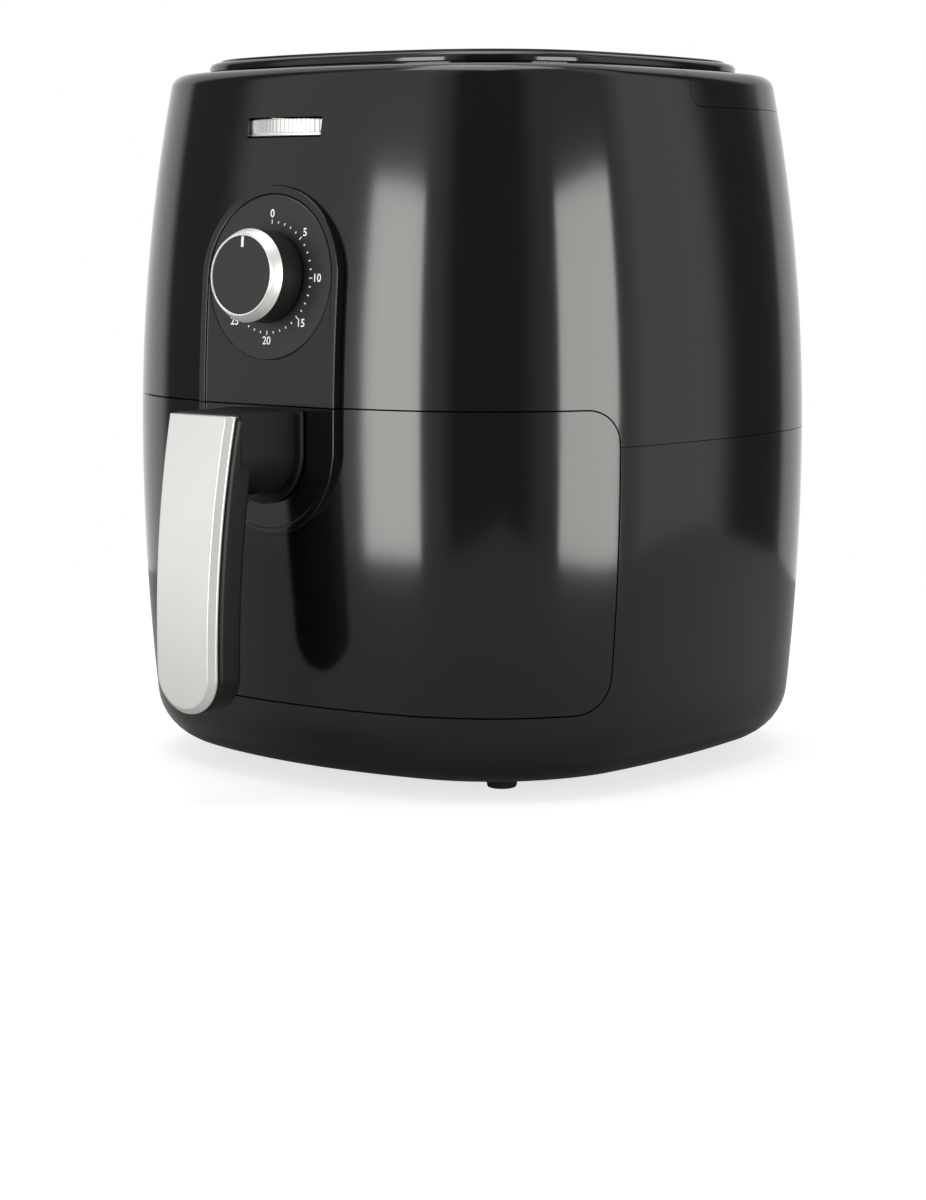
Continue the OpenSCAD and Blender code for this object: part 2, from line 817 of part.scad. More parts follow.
module motor_stator() {
  color("#6d7073") placed() difference() {
    translate([0, 0, stator_z]) linear_extrude(stator_h) rounded(60, 60, 5);
    cylinder(h = far, r = rotor_r + 0.5);
  }
}

module motor_rotor() {
  color("#9b9ea1") placed() difference() {
    translate([0, 0, stator_z + 1]) cylinder(h = stator_h - 2, r = rotor_r);
    cylinder(h = far, r = shaft_r + hub_fit);
  }
}

module motor_coil() {
  color("#b5651d") placed() translate([30, -16, stator_z + 1]) cube([12, 32, stator_h - 2]);
}

module thermal_fuse() {
  color("#d9d6cc") placed() translate([fuse_xy[0], fuse_xy[1], hood_top]) cylinder(h = 5, r = 5);
}

module terminal_block() {
  color("#e6e3da") placed() difference() {
    translate([hood_r + 9, -16, hood_z]) cube([16, 32, 13]);
    for (y = [-10, 0, 10])
      translate([hood_r + 17, y, hood_z + 4]) cylinder(h = 20, r = 2.5);
  }
}

module exhaust_duct() {
  w = vent_w + 8;
  high = vent_z + vent_h / 2 + 3;
  y0 = hood_r + seat;
  bow = front_r - sqrt(front_r ^ 2 - (w / 2) ^ 2);
  y1 = half_d - lean(high) - bow - wall - 2 * seat;
  color("#77797c") placed() difference() {
    translate([-w / 2, y0 - 12, hood_z + sheet]) cube([w, y1 - y0 + 12, high - hood_z - sheet]);
    translate([-w / 2 + 1.5, y0 - 20, hood_z + sheet + 1.5])
      cube([w - 3, y1 - y0 + 30, high - hood_z - sheet - 3]);
    translate([0, 0, hood_z - 1]) cylinder(h = far, r = y0, $fn = huge_fn);
  }
}

module door_switch() {
  back = frame_y + frame_t;
  color("#1c1c1e") placed() difference() {
    translate([switch_x - 4, back, switch_z - 10]) cube([8, 17, 20]);
    translate([switch_x, 0, switch_z]) bar_y(plunger_r + run_fit, back - 1, back + 12);
  }
}

module switch_plunger() {
  tip = drawer_y - drawer_gap + seat;
  color("#c8342c") placed() translate([switch_x, 0, switch_z])
    bar_y(plunger_r, tip, frame_y + frame_t + 8);
}

// ---- drawer ------------------------------------------------------------------

module drawer_front() {
  color("#2d2d2f") placed() difference() {
    intersection() {
      union() {
        swept(FRONT_ROUND) {
          intersection() {
            upper_wall(20);
            translate([-far / 4, seam_z]) square([far, 40]);
          }
          intersection() {
            lower_wall(20);
            translate([-far / 4, drawer_low - 4]) square([far, seam_z - drawer_low + 4]);
          }
        }
        intersection() {
          front_slab(fascia_rise, fascia_back, fascia_r + 2);
          along_y(-far, 0) fascia_outline(0);
        }
      }
      drawer_block(drawer_gap);
    }
    for (z = [neck_z - 6, neck_z + 8])
      translate([0, 0, z]) bar_y(screw_r + seat / 2, -far, 0);
  }
}

// Region behind the drawer front that its inner mouldings fill, set in from its face.
module drawer_plan(inset) {
  intersection() {
    plan(inset);
    translate([-far, -far]) square([2 * far, far + drawer_y - drawer_gap]);
  }
}

module drawer_inner_panel() {
  base = lean(inner_low) + wall + seat;
  color("#242426") placed() {
    translate([0, 0, inner_low]) linear_extrude(flange_z - inner_low) intersection() {
      ring_2d(pan_r + 2 + panel_t, pan_r + 2, $fn = huge_fn);
      translate([-far, -far]) square([2 * far, far + drawer_y - drawer_gap]);
    }
    translate([0, 0, inner_low]) linear_extrude(panel_t) difference() {
      drawer_plan(base);
      circle(pan_r + 2 + panel_t / 2, $fn = huge_fn);
    }
  }
}

// The tab hanging from the flange's end pushes the door switch in.
module drawer_flange() {
  color("#262628") placed() difference() {
    union() {
      translate([0, 0, flange_z]) linear_extrude(flange_t) difference() {
        drawer_plan(lean(flange_z) + fascia_back + seat);
        circle(pan_r + 0.3, $fn = huge_fn);
      }
      translate([switch_x - tab_w / 2, drawer_y - drawer_gap - panel_t, switch_z - tab_w / 2])
        cube([tab_w, panel_t, flange_z - switch_z + tab_w / 2 + 1]);
    }
    for (x = [-1, 1])
      rotate([0, 0, x * 39]) translate([-15, -129, flange_z - 1]) cube([30, 5, far]);
  }
}

module grip_outline(inset) {
  end_z = grip_low + grip_end_w;
  top = neck_top - inset;
  translate([0, end_z]) circle(grip_end_w - inset);
  polygon([[-grip_end_w + inset, end_z], [grip_end_w - inset, end_z],
    [grip_top_w - inset, top], [-grip_top_w + inset, top]]);
}

// Part of the grip between two depths behind its bowed face.
module grip_layer(front, back, inset) {
  intersection() {
    along_x(grip_top_w + 5) intersection() {
      translate(grip_c) difference() {
        circle(grip_bow - front, $fn = 1024);
        circle(grip_bow - back, $fn = 1024);
      }
      translate([-grip_reach - 10, 0]) square([80, far]);
    }
    along_y(-far, 0) grip_outline(inset);
  }
}

module neck_outline(w) {
  translate([0, neck_z]) circle(w);
  translate([-w, neck_z]) square([2 * w, neck_top - neck_z]);
}

module handle_body() {
  root_y = -half_d + lean(neck_z) - fascia_rise - seat / 4;
  back_y = -grip_reach + grip_d;
  fillet = 16;
  web_z = neck_z - neck_w + 3;
  color("#1c1c1d") placed() difference() {
    union() {
      grip_layer(insert_t + seat / 2, grip_d, 0);
      along_y(back_y - 2, root_y) intersection() {
        neck_outline(neck_w);
        translate([-far, 0]) square([2 * far, neck_top]);
      }
      along_y(root_y - 2.2, root_y) intersection() {
        neck_outline(root_w);
        translate([-far, 0]) square([2 * far, neck_top]);
      }
      along_x(grip_end_w - 2) difference() {
        translate([back_y - 1, web_z - fillet]) square([fillet + 1, fillet]);
        translate([back_y + fillet, web_z - fillet]) circle(fillet);
      }
    }
    for (z = [neck_z - 6, neck_z + 8])
      translate([0, 0, z]) bar_y(screw_r + seat / 4, root_y - 16, 0);
  }
}

module handle_insert() {
  color("#cfd0cf") placed() grip_layer(0, insert_t, 0.5);
}

module handle_screws() {
  head_y = -half_d + lean(neck_z) + fascia_back + seat;
  color("#8b8d8f") placed()
    for (z = [neck_z - 6, neck_z + 8])
      translate([0, 0, z]) {
        bar_y(screw_r, head_y - 18, head_y + 1);
        bar_y(2 * screw_r, head_y, head_y + 2.2);
      }
}

module pan() {
  color("#22242a") placed() difference() {
    union() {
      translate([0, 0, pan_z]) linear_extrude(rim_z - pan_z) pan_outline(pan_r, pan_flat);
      translate([0, 0, rim_z + seat / 4]) linear_extrude(pan_t)
        pan_outline(pan_r + rim_w, pan_flat + rim_w);
      translate([0, 0, rim_z - 1]) linear_extrude(2) pan_outline(pan_r, pan_flat);
    }
    translate([0, 0, pan_z + pan_t]) linear_extrude(far) pan_outline(pan_in, pan_flat - pan_t);
  }
}

module pan_strap() {
  color("#9c9fa2") placed() translate([0, 0, pan_z + 16]) linear_extrude(80) intersection() {
    ring_2d(pan_r + 2 - seat / 4, pan_r + seat / 4, $fn = huge_fn);
    translate([-28, -far]) square([56, far]);
  }
}

module crisper_plate() {
  hub = 27;
  rib = 2.6;
  color("#23252b") placed() {
    translate([0, 0, plate_z - plate_t]) linear_extrude(plate_t) difference() {
      pan_outline(plate_r, plate_flat);
      for (k = [0:4])
        intersection() {
          ring_2d(hub + 15 + 12.4 * k, hub + 9.5 + 12.4 * k, $fn = 128);
          difference() {
            circle(far);
            for (i = [0:3])
              rotate(45 * i) square([4 * far, 2 * rib + 5], center = true);
          }
        }
      for (ring = [[4, 6], [8, 12], [12, 19]], i = [0:ring[0] - 1])
        rotate(360 / ring[0] * (i + 0.5)) translate([ring[1], 0]) circle(1.9, $fn = 32);
    }
    translate([0, 0, plate_z - plate_t - 8]) linear_extrude(8.5) difference() {
      pan_outline(plate_r, plate_flat);
      pan_outline(plate_r - skirt_t, plate_flat - skirt_t);
    }
  }
}

module crisper_pads() {
  low = pan_z + pan_t + seat;
  color("#3a3b3e") placed()
    for (i = [0:3])
      rotate([0, 0, 90 * i + 45]) translate([plate_r + 0.05, -7, low])
        cube([plate_gap - 0.6, 14, plate_z - plate_t - low]);
}

upper_housing();
lower_housing();
base_cover();
rubber_feet();
top_cover();
lid_panel();
control_fascia();
dial_plate();
timer_knob();
knob_ring();
knob_cap();
timer_spindle();
timer_body();
timer_bracket();
timer_bell();
temperature_wheel();
thermostat_spindle();
thermostat_body();
thermostat_bracket();
thermostat_capillary();
rear_vent_grille();
exhaust_duct();
bay_plate();
cavity_liner();
bay_frame();
drawer_rails();
bay_screws();
heater_hood();
heating_element();
element_clips();
element_guard();
hot_fan();
fan_nut();
motor_shaft();
cooling_fan();
motor_bracket();
motor_stator();
motor_rotor();
motor_coil();
motor_bearings();
thermal_fuse();
terminal_block();
door_switch();
switch_plunger();
cord_gland();
drawer_front();
drawer_inner_panel();
drawer_flange();
handle_body();
handle_insert();
handle_screws();
pan();
pan_strap();
crisper_plate();
crisper_pads();
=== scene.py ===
"""Looks of a basket air fryer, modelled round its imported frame.

Floor at z = 0, front faces -Y, metres. Places are given from the housing's own upright axis,
which point() carries into the frame.
"""

import json
import math
from itertools import pairwise

import bpy
from mathutils import Matrix, Vector


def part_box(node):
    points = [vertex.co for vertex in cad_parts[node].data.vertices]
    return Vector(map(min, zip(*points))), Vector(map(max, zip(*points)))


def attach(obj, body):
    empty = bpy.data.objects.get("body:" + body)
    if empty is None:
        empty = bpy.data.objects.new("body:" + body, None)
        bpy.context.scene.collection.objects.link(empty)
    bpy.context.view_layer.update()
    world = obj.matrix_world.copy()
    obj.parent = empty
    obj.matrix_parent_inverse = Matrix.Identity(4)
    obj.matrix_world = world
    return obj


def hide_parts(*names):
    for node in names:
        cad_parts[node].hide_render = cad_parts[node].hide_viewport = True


bl_info = {
    "name": "Basket air fryer",
    "version": (1, 0, 0),
    "blender": (4, 5, 0),
    "location": "View3D > Sidebar > Air fryer",
    "description": "Models the mouldings, controls, pan and finishes of a basket air fryer",
    "category": "Object",
}

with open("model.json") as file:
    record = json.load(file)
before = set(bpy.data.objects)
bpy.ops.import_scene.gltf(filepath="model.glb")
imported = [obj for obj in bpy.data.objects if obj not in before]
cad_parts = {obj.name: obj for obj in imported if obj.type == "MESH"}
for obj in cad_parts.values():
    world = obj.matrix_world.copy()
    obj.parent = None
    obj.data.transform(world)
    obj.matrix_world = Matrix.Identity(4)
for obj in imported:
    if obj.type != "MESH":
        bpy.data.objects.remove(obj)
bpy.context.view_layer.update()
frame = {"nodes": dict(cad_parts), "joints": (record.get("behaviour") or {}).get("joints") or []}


# ---- sizes and colours --------------------------------------------------------------------------


def length(name, default, text):
    return bpy.props.FloatProperty(name=name, default=default, description=text, unit="LENGTH", precision=4)


def to_linear(hex_value):
    """An sRGB hex colour as three linear numbers."""
    parts = [int(hex_value[i : i + 2], 16) / 255 for i in (1, 3, 5)]
    return [c / 12.92 if c <= 0.04045 else ((c + 0.055) / 1.055) ** 2.4 for c in parts]


def finish(name, hex_value, text):
    return bpy.props.FloatVectorProperty(
        name=name, default=to_linear(hex_value), description=text, subtype="COLOR", size=3, min=0, max=1
    )


class HousingSizes(bpy.types.PropertyGroup):
    """Sizes of the fixed mouldings."""

    body_w: length("Body width", 0.29, "Width at the widest level")
    body_d: length("Body depth", 0.29, "Depth at the widest level")
    body_top: length("Shoulder height", 0.321, "Height of the shoulder above the floor")
    underside: length("Underside", 0.006, "Height of the underside above the floor")
    seam: length("Parting line", 0.155, "Height of the parting line, at the widest level")
    corner_r: length("Corner radius", 0.1, "Plan radius of the corners")
    side_r: length("Side radius", 0.45, "Plan radius of the bowed sides")
    front_r: length("Front radius", 0.275, "Plan radius of the bowed front and rear")
    upper_crown: length("Upper crown", 0.874, "Radius of the walls above the parting line")
    lower_crown: length("Lower crown", 1.21, "Radius of the walls below the parting line")
    shoulder_r: length("Shoulder radius", 0.007, "Radius of the shoulder edge")
    bottom_r: length("Bottom radius", 0.026, "Radius of the bottom edge")
    wall: length("Wall", 0.0026, "Thickness of the moulded shells")
    seam_gap: length("Seam gap", 0.0003, "Gap along the parting lines")
    shoulder_lip: length("Shoulder lip", 0.028, "Depth of the lip turned in at the shoulder")
    base_lip: length("Base lip", 0.038, "Depth of the lip turned in at the underside")
    skirt_y: length("Skirt start", -0.007, "Place along Y where the top cover's skirt starts")
    skirt_low: length("Skirt edge", 0.304, "Height of the skirt's lower edge")
    skirt_r: length("Skirt corner", 0.006, "Radius of the skirt's front corner")
    lid_inset: length("Lid inset", 0.033, "Set-in of the lid from the widest outline")
    lid_t: length("Lid rim", 0.0043, "Thickness of the lid's rim")
    lid_rise: length("Lid rise", 0.0014, "Rise of the lid's raised field")
    lid_gap: length("Lid gap", 0.0013, "Shadow gap under the lid's rim")
    vent_z: length("Vent height", 0.216, "Height of the rear vent's middle")
    vent_w: length("Vent width", 0.0784, "Width of the rear vent's opening")
    vent_h: length("Vent opening", 0.0524, "Height of the rear vent's opening")
    gland_z: length("Gland height", 0.048, "Height of the cord gland's hole")


class ControlSizes(bpy.types.PropertyGroup):
    """Sizes of the fascia, dial, knob and thumbwheel."""

    strip_r: length("Strip half width", 0.0405, "Half width of the raised strip")
    strip_low: length("Strip end", 0.154, "Centre height of the strip's round lower end")
    strip_rise: length("Strip rise", 0.0016, "How far the strip stands out at its middle")
    bead_w: length("Bead width", 0.0034, "Width of the bead round the strip")
    bead_drop: length("Bead drop", 0.0007, "How far the field lies behind the bead")
    dial_z: length("Dial height", 0.228, "Height of the dial's centre")
    dial_r: length("Dial radius", 0.0365, "Radius of the dial plate")
    knob_r: length("Knob radius", 0.0203, "Radius of the knob's skirt")
    knob_d: length("Knob depth", 0.0186, "Depth of the knob from dial to cap")
    wheel_r: length("Thumbwheel radius", 0.046, "Radius of the thumbwheel")
    wheel_z: length("Thumbwheel height", 0.2942, "Height of the middle of the thumbwheel")
    wheel_t: length("Thumbwheel thickness", 0.0073, "Thickness of the thumbwheel")
    slot_w: length("Slot half width", 0.022, "Half width of the thumbwheel's slot")
    slot_h: length("Slot height", 0.009, "Height of the thumbwheel's slot")


class DrawerSizes(bpy.types.PropertyGroup):
    """Sizes of the drawer, its handle and its pan."""

    edge_y: length("Side edge", -0.069, "Place along Y of the drawer front's side edges")
    low: length("Lower edge", 0.038, "Height of the drawer front's lower edge")
    high: length("Upper edge", 0.172, "Height of the drawer front's upper edge")
    edge_r: length("Corner radius", 0.016, "Radius of the drawer front's corners")
    gap: length("Drawer gap", 0.0007, "Gap round the drawer front")
    pan_r: length("Pan radius", 0.117, "Outside radius of the pan")
    pan_flat: length("Pan flats", 0.112, "Half width over the pan's flat sides")
    pan_z: length("Pan underside", 0.046, "Height of the pan's underside")
    pan_t: length("Pan sheet", 0.0012, "Sheet thickness of the pan")
    rim_z: length("Pan rim", 0.167, "Height of the pan's rim")
    rim_w: length("Rim width", 0.0025, "Width of the pan's rolled rim")
    reach: length("Grip reach", 0.1992, "Reach of the grip's face from the axis")
    bow: length("Grip bow", 0.46, "Radius that the grip's face bows along")
    mid_z: length("Grip middle", 0.071, "Height of the outermost point of the grip's face")
    top_w: length("Grip top", 0.0197, "Half width of the grip at its top")
    end_w: length("Grip end", 0.018, "Half width of the grip at its rounded end")
    grip_low: length("Grip low end", 0.04, "Height of the grip's lower end")
    grip_d: length("Grip depth", 0.019, "Depth of the grip, insert included")
    insert_t: length("Insert", 0.0038, "Thickness of the plated insert")
    neck_w: length("Neck half width", 0.02, "Half width of the neck")
    root_w: length("Root half width", 0.024, "Half width of the flange at the neck's root")
    neck_top: length("Neck top", 0.17, "Height of the neck's top")


class FryerColours(bpy.types.PropertyGroup):
    """Colours of the finishes."""

    gloss_black: finish("Gloss black", "#0f0f10", "Polished black moulding")
    satin_black: finish("Satin black", "#161617", "Finely etched black moulding")
    matt_black: finish("Matt black", "#131314", "Grained black moulding")
    grip_black: finish("Grip black", "#141412", "Back of the grip")
    silver: finish("Silver", "#dcdddb", "Satin plating")
    ink: finish("Ink", "#e9e9e6", "White dial printing")
    coating: finish("Coating", "#22242a", "Non-stick coating")
    steel: finish("Steel", "#a6a9ac", "Plain steel")
    copper: finish("Copper", "#b8703f", "Bare copper")
    brass: finish("Brass", "#b99a56", "Plain brass")
    phenolic: finish("Phenolic", "#8c7350", "Phenolic moulding")
    ceramic: finish("Ceramic", "#d8d4c9", "Glazed ceramic")
    rubber: finish("Rubber", "#141415", "Rubber")
    signal_red: finish("Red", "#b5372e", "Red plastic")
    floor: finish("Floor", "#a2a2a2", "Studio floor")


LID_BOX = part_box("lid_panel")
AXIS_Y = (LID_BOX[0].y + LID_BOX[1].y) / 2
FAR = 0.4
FULL_TURN = 2 * math.pi
WELD = 1e-5
EDGE_R = 0.0004
WALL_STEP = 0.0022
PLATE_T = 0.001
PLINTH_INSET = 0.007
VENT_CORNER_R = 0.008
GLAND_R = 0.0061
DIAL_CLEARANCE = 0.0002
INSERT_CHAMFER = 0.0026
NECK_DROP = 0.018
FLOOR_R = 0.004
RIM_LAP = 0.0003


def point(x, y, z):
    """A place given from the housing's own axis, in the frame."""
    return Vector((x, y + AXIS_Y, z))


def level_at(z, line):
    """An (x, y) outline at height z."""
    return [point(x, y, z) for x, y in line]


def facing_at(y, line):
    """An (x, z) outline standing at y."""
    return [point(x, y, z) for x, z in line]


def side_at(x, line):
    """A (y, z) outline standing at x."""
    return [point(x, y, z) for y, z in line]


def housing():
    return bpy.context.scene.fryer_housing


def controls():
    return bpy.context.scene.fryer_controls


def drawer():
    return bpy.context.scene.fryer_drawer


# ---- outlines -----------------------------------------------------------------------------------


def plan_arcs():
    """The housing's plan from above: eight tangent arcs, each (centre, radius, first angle, sweep)."""
    h = housing()
    side_c, rear_c = h.body_w / 2 - h.side_r, h.body_d / 2 - h.front_r
    span = math.hypot(side_c, rear_c)
    far_side, far_rear = h.side_r - h.corner_r, h.front_r - h.corner_r
    along = (far_side**2 - far_rear**2 + span**2) / (2 * span)
    across = math.sqrt(far_side**2 - along**2)
    cx = side_c + (-side_c * along + -rear_c * across) / span
    cy = (rear_c * along - side_c * across) / span
    side_a, rear_a = math.atan2(cy, cx - side_c), math.atan2(cx, cy - rear_c)
    corner_a = math.pi / 2 - side_a - rear_a
    arcs = []
    for quarter, (sx, sy) in enumerate(((1, 1), (-1, 1), (-1, -1), (1, -1))):
        turn = quarter * math.pi / 2
        if quarter % 2 == 0:
            flat = ((sx * side_c, 0), h.side_r, turn - side_a, 2 * side_a)
            before = side_a
        else:
            flat = ((0, sy * rear_c), h.front_r, turn - rear_a, 2 * rear_a)
            before = rear_a
        arcs += [flat, ((sx * cx, sy * cy), h.corner_r, turn + before, corner_a)]
    return arcs


def plan_outline(inset, spacing=0.003):
    """Points round the plan, moved in by inset."""
    points = []
    for (cx, cy), radius, first, sweep in plan_arcs():
        steps = max(2, round(radius * sweep / spacing))
        for i in range(steps):
            a = first + sweep * i / steps
            points.append((cx + (radius - inset) * math.cos(a), cy + (radius - inset) * math.sin(a)))
    return points


def arc_points(centre, radius, first, last, steps):
    """Points along an arc, both ends included, in degrees."""
    angles = [math.radians(first + (last - first) * i / steps) for i in range(steps + 1)]
    return [(centre[0] + radius * math.cos(a), centre[1] + radius * math.sin(a)) for a in angles]


def lean(z):
    """How far the wall has leaned in at height z."""
    h = housing()
    crown = h.upper_crown if z > h.seam else h.lower_crown
    return crown - math.sqrt(crown**2 - (z - h.seam) ** 2)


def wall_line(crown, edge, rise, inset, low=0.0, steps=24):
    """One face of a wall, (out, up), from low above the parting line to the flat beyond its rounded edge."""
    up = rise - edge
    across = math.sqrt((crown - edge) ** 2 - up**2)
    turn = math.degrees(math.atan2(up, across))
    first = math.degrees(math.asin(low / (crown - inset)))
    line = arc_points((-crown, 0), crown - inset, first, turn, steps)
    return line + arc_points((across - crown, up), edge - inset, turn, 90, 10)[1:]


# ---- modelling by hand --------------------------------------------------------------------------


def leave_edit():
    bpy.ops.object.mode_set(mode="OBJECT")


def select_all():
    bpy.ops.mesh.select_all(action="SELECT")


def deselect():
    if bpy.context.object and bpy.context.object.mode != "OBJECT":
        leave_edit()
    bpy.ops.object.select_all(action="DESELECT")


def focus(piece):
    deselect()
    bpy.context.view_layer.objects.active = piece
    piece.select_set(True)


def edit(piece):
    focus(piece)
    bpy.ops.object.mode_set(mode="EDIT")
    bpy.ops.mesh.select_mode(type="VERT")


def named(name):
    piece = bpy.context.object
    piece.name = piece.data.name = name
    return piece


def draw(name, points, close=True, fill=True):
    """A new mesh in edit mode: a line through the points, closed or filled as asked, all selected."""
    deselect()
    bpy.ops.mesh.primitive_plane_add(size=0.01)
    piece = named(name)
    bpy.ops.object.mode_set(mode="EDIT")
    bpy.ops.mesh.select_mode(type="VERT")
    bpy.ops.mesh.merge(type="CENTER")
    bpy.ops.transform.translate(value=points[0])
    for a, b in pairwise(points):
        bpy.ops.mesh.extrude_vertices_move(TRANSFORM_OT_translate={"value": Vector(b) - Vector(a)})
    if close and not fill:
        pick(piece, "VERT", lambda v: v.index in (0, len(points) - 1))
        bpy.ops.mesh.edge_face_add()
    select_all()
    if fill:
        bpy.ops.mesh.edge_face_add()
    return piece


def pick(piece, kind, chosen):
    """In edit mode, selects the vertices, edges or faces that chosen() says yes to."""
    bpy.ops.mesh.select_mode(type=kind)
    bpy.ops.mesh.select_all(action="DESELECT")
    leave_edit()
    mesh = piece.data
    for part in {"VERT": mesh.vertices, "EDGE": mesh.edges, "FACE": mesh.polygons}[kind]:
        part.select = bool(chosen(part))
    bpy.ops.object.mode_set(mode="EDIT")


def extrude(x, y, z):
    bpy.ops.mesh.extrude_region_move(TRANSFORM_OT_translate={"value": (x, y, z)})


def tidy(piece):
    """Merges doubles, points the faces outwards and leaves edit mode."""
    edit(piece)
    select_all()
    bpy.ops.mesh.remove_doubles(threshold=WELD)
    bpy.ops.mesh.normals_make_consistent(inside=False)
    leave_edit()
    return piece


def modify(piece, kind, **settings):
    """Adds a modifier and applies it."""
    focus(piece)
    modifier = piece.modifiers.new(kind.title(), kind)
    for key, value in settings.items():
        setattr(modifier, key, value)
    bpy.ops.object.modifier_apply(modifier=modifier.name)
    return piece


def combine(piece, other, operation="DIFFERENCE"):
    """A boolean with another mesh, which is used up."""
    modify(piece, "BOOLEAN", operation=operation, object=other, solver="EXACT")
    bpy.data.objects.remove(other)
    return piece


def soften(piece, width=EDGE_R, segments=2, angle=40):
    """Rounds the edges sharper than angle."""
    return modify(
        piece, "BEVEL", width=width, segments=segments, limit_method="ANGLE",
        angle_limit=math.radians(angle), use_clamp_overlap=True, miter_outer="MITER_ARC",
    )


def join(piece, *others):
    """Joins pieces into the first."""
    deselect()
    for other in (*others, piece):
        other.select_set(True)
    bpy.context.view_layer.objects.active = piece
    bpy.ops.object.join()
    return piece


def smooth(piece, angle=35):
    """Smooth shading up to an edge angle, with the large faces kept flat beside their rounded edges."""
    focus(piece)
    bpy.ops.object.shade_smooth_by_angle(angle=math.radians(angle))
    return modify(piece, "WEIGHTED_NORMAL", mode="FACE_AREA", weight=50, keep_sharp=True)


def place(piece, body, slot, material, *nodes):
    """Finishes a piece: smooth shading, material, the body it rides on and the nodes it stands for."""
    smooth(piece)
    piece.data.materials.clear()
    piece.data.materials.append(finished(material))
    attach(piece, body)
    if nodes:
        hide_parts(*nodes)
    return piece


def sweep(name, profile, arcs, spacing, close):
    """Sweeps an (out, z) profile along plan arcs; a closed one starts halfway along its first arc."""
    (cx, cy), radius, first, turn = arcs[0]
    path = list(arcs)
    if close:
        half = turn / 2
        path = [(arcs[0][0], radius, first + half, half), *arcs[1:], (arcs[0][0], radius, first, half)]
        first += half
    points = [
        point(cx + (radius + out) * math.cos(first), cy + (radius + out) * math.sin(first), z)
        for out, z in profile
    ]
    piece = draw(name, points, close=True, fill=not close)
    for (cx, cy), radius, _, turn in path:
        steps = max(2, round(radius * turn / spacing))
        bpy.ops.mesh.spin(steps=steps, angle=-turn, center=point(cx, cy, 0), axis=(0, 0, 1))
    return tidy(piece)


def turned(name, profile, centre, steps=96, axis=(0, 0, 1), out=(1, 0, 0)):
    """Turns an (r, h) profile about an axis; its ends lie on the axis, or it is a closed loop."""
    axis, out = Vector(axis), Vector(out)
    points = [Vector(centre) + out * r + axis * h for r, h in profile]
    on_axis = abs(profile[0][0]) < 1e-9 and abs(profile[-1][0]) < 1e-9
    piece = draw(name, points, close=not on_axis, fill=False)
    bpy.ops.mesh.spin(steps=steps, angle=FULL_TURN, center=centre, axis=axis)
    return tidy(piece)


def prism(name, points, offset):
    """An outline drawn in space and pulled along offset into a closed block."""
    piece = draw(name, points)
    extrude(*offset)
    return tidy(piece)


def block(name, low, high):
    """A box between two places given from the housing's axis."""
    deselect()
    bpy.ops.mesh.primitive_cube_add(size=1)
    piece = named(name)
    low, high = point(*low), point(*high)
    bpy.ops.object.mode_set(mode="EDIT")
    bpy.ops.transform.resize(value=high - low)
    bpy.ops.transform.translate(value=(low + high) / 2)
    leave_edit()
    return piece


def drum(name, centre, radius, depth):
    """A round bar along Y whose middle is at centre."""
    deselect()
    bpy.ops.mesh.primitive_cylinder_add(radius=radius, depth=depth, vertices=96)
    piece = named(name)
    piece.matrix_world = Matrix.Translation(centre) @ Matrix.Rotation(math.pi / 2, 4, "X")
    bpy.ops.object.transform_apply(location=True, rotation=True, scale=True)
    return piece


def copy_of(node, name):
    """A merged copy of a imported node's mesh, with its flat faces whole again."""
    deselect()
    source = frame["nodes"][node]
    piece = bpy.data.objects.new(name, source.data.copy())
    bpy.context.scene.collection.objects.link(piece)
    piece.data.materials.clear()
    edit(piece)
    select_all()
    bpy.ops.mesh.remove_doubles(threshold=WELD)
    bpy.ops.mesh.dissolve_limited(angle_limit=math.radians(0.6), use_dissolve_boundaries=False)
    leave_edit()
    return piece


# ---- finishes -----------------------------------------------------------------------------------


def add(tree, kind, inputs=(), **settings):
    """Adds a node; an input is given a value, or a socket to link from."""
    node = tree.nodes.new("ShaderNode" + kind)
    for key, value in settings.items():
        setattr(node, key, value)
    for key, value in dict(inputs).items():
        if isinstance(value, bpy.types.NodeSocket):
            tree.links.new(value, node.inputs[key])
        else:
            node.inputs[key].default_value = value
    return node


def surface(name, colour, roughness, grain_mm, bump_mm, spread=0.04, mottle=0.08, metallic=0.0, **sockets):
    """A finish with a raised grain, whose gloss and tone drift over centimetres."""
    material = bpy.data.materials.get(name)
    if material:
        return material
    material = bpy.data.materials.new(name)
    material.use_nodes = True
    tree = material.node_tree
    shader = tree.nodes["Principled BSDF"]
    shader.inputs["Metallic"].default_value = metallic
    for key, value in sockets.items():
        shader.inputs[key.replace("_", " ")].default_value = value
    where = add(tree, "TexCoord").outputs["Object"]
    drift = add(tree, "TexNoise", {"Vector": where, "Scale": 35.0, "Detail": 3.0}).outputs["Fac"]
    dark = [c * (1 - mottle) for c in colour]
    light = [min(1.0, c * (1 + mottle)) for c in colour]
    tone = add(tree, "ValToRGB", {"Fac": drift})
    tone.color_ramp.elements[0].color = (*dark, 1)
    tone.color_ramp.elements[1].color = (*light, 1)
    tree.links.new(tone.outputs["Color"], shader.inputs["Base Color"])
    gloss = add(
        tree, "MapRange", {"Value": drift, "To Min": roughness - spread, "To Max": roughness + spread}
    ).outputs["Result"]
    tree.links.new(gloss, shader.inputs["Roughness"])
    grain = add(tree, "TexNoise", {"Vector": where, "Scale": 1000 / grain_mm, "Detail": 2.0}).outputs["Fac"]
    bump = add(tree, "Bump", {"Height": grain, "Strength": 1.0, "Distance": bump_mm / 1000})
    tree.links.new(bump.outputs["Normal"], shader.inputs["Normal"])
    return material


def paint(name):
    return getattr(bpy.context.scene.fryer_colours, name)


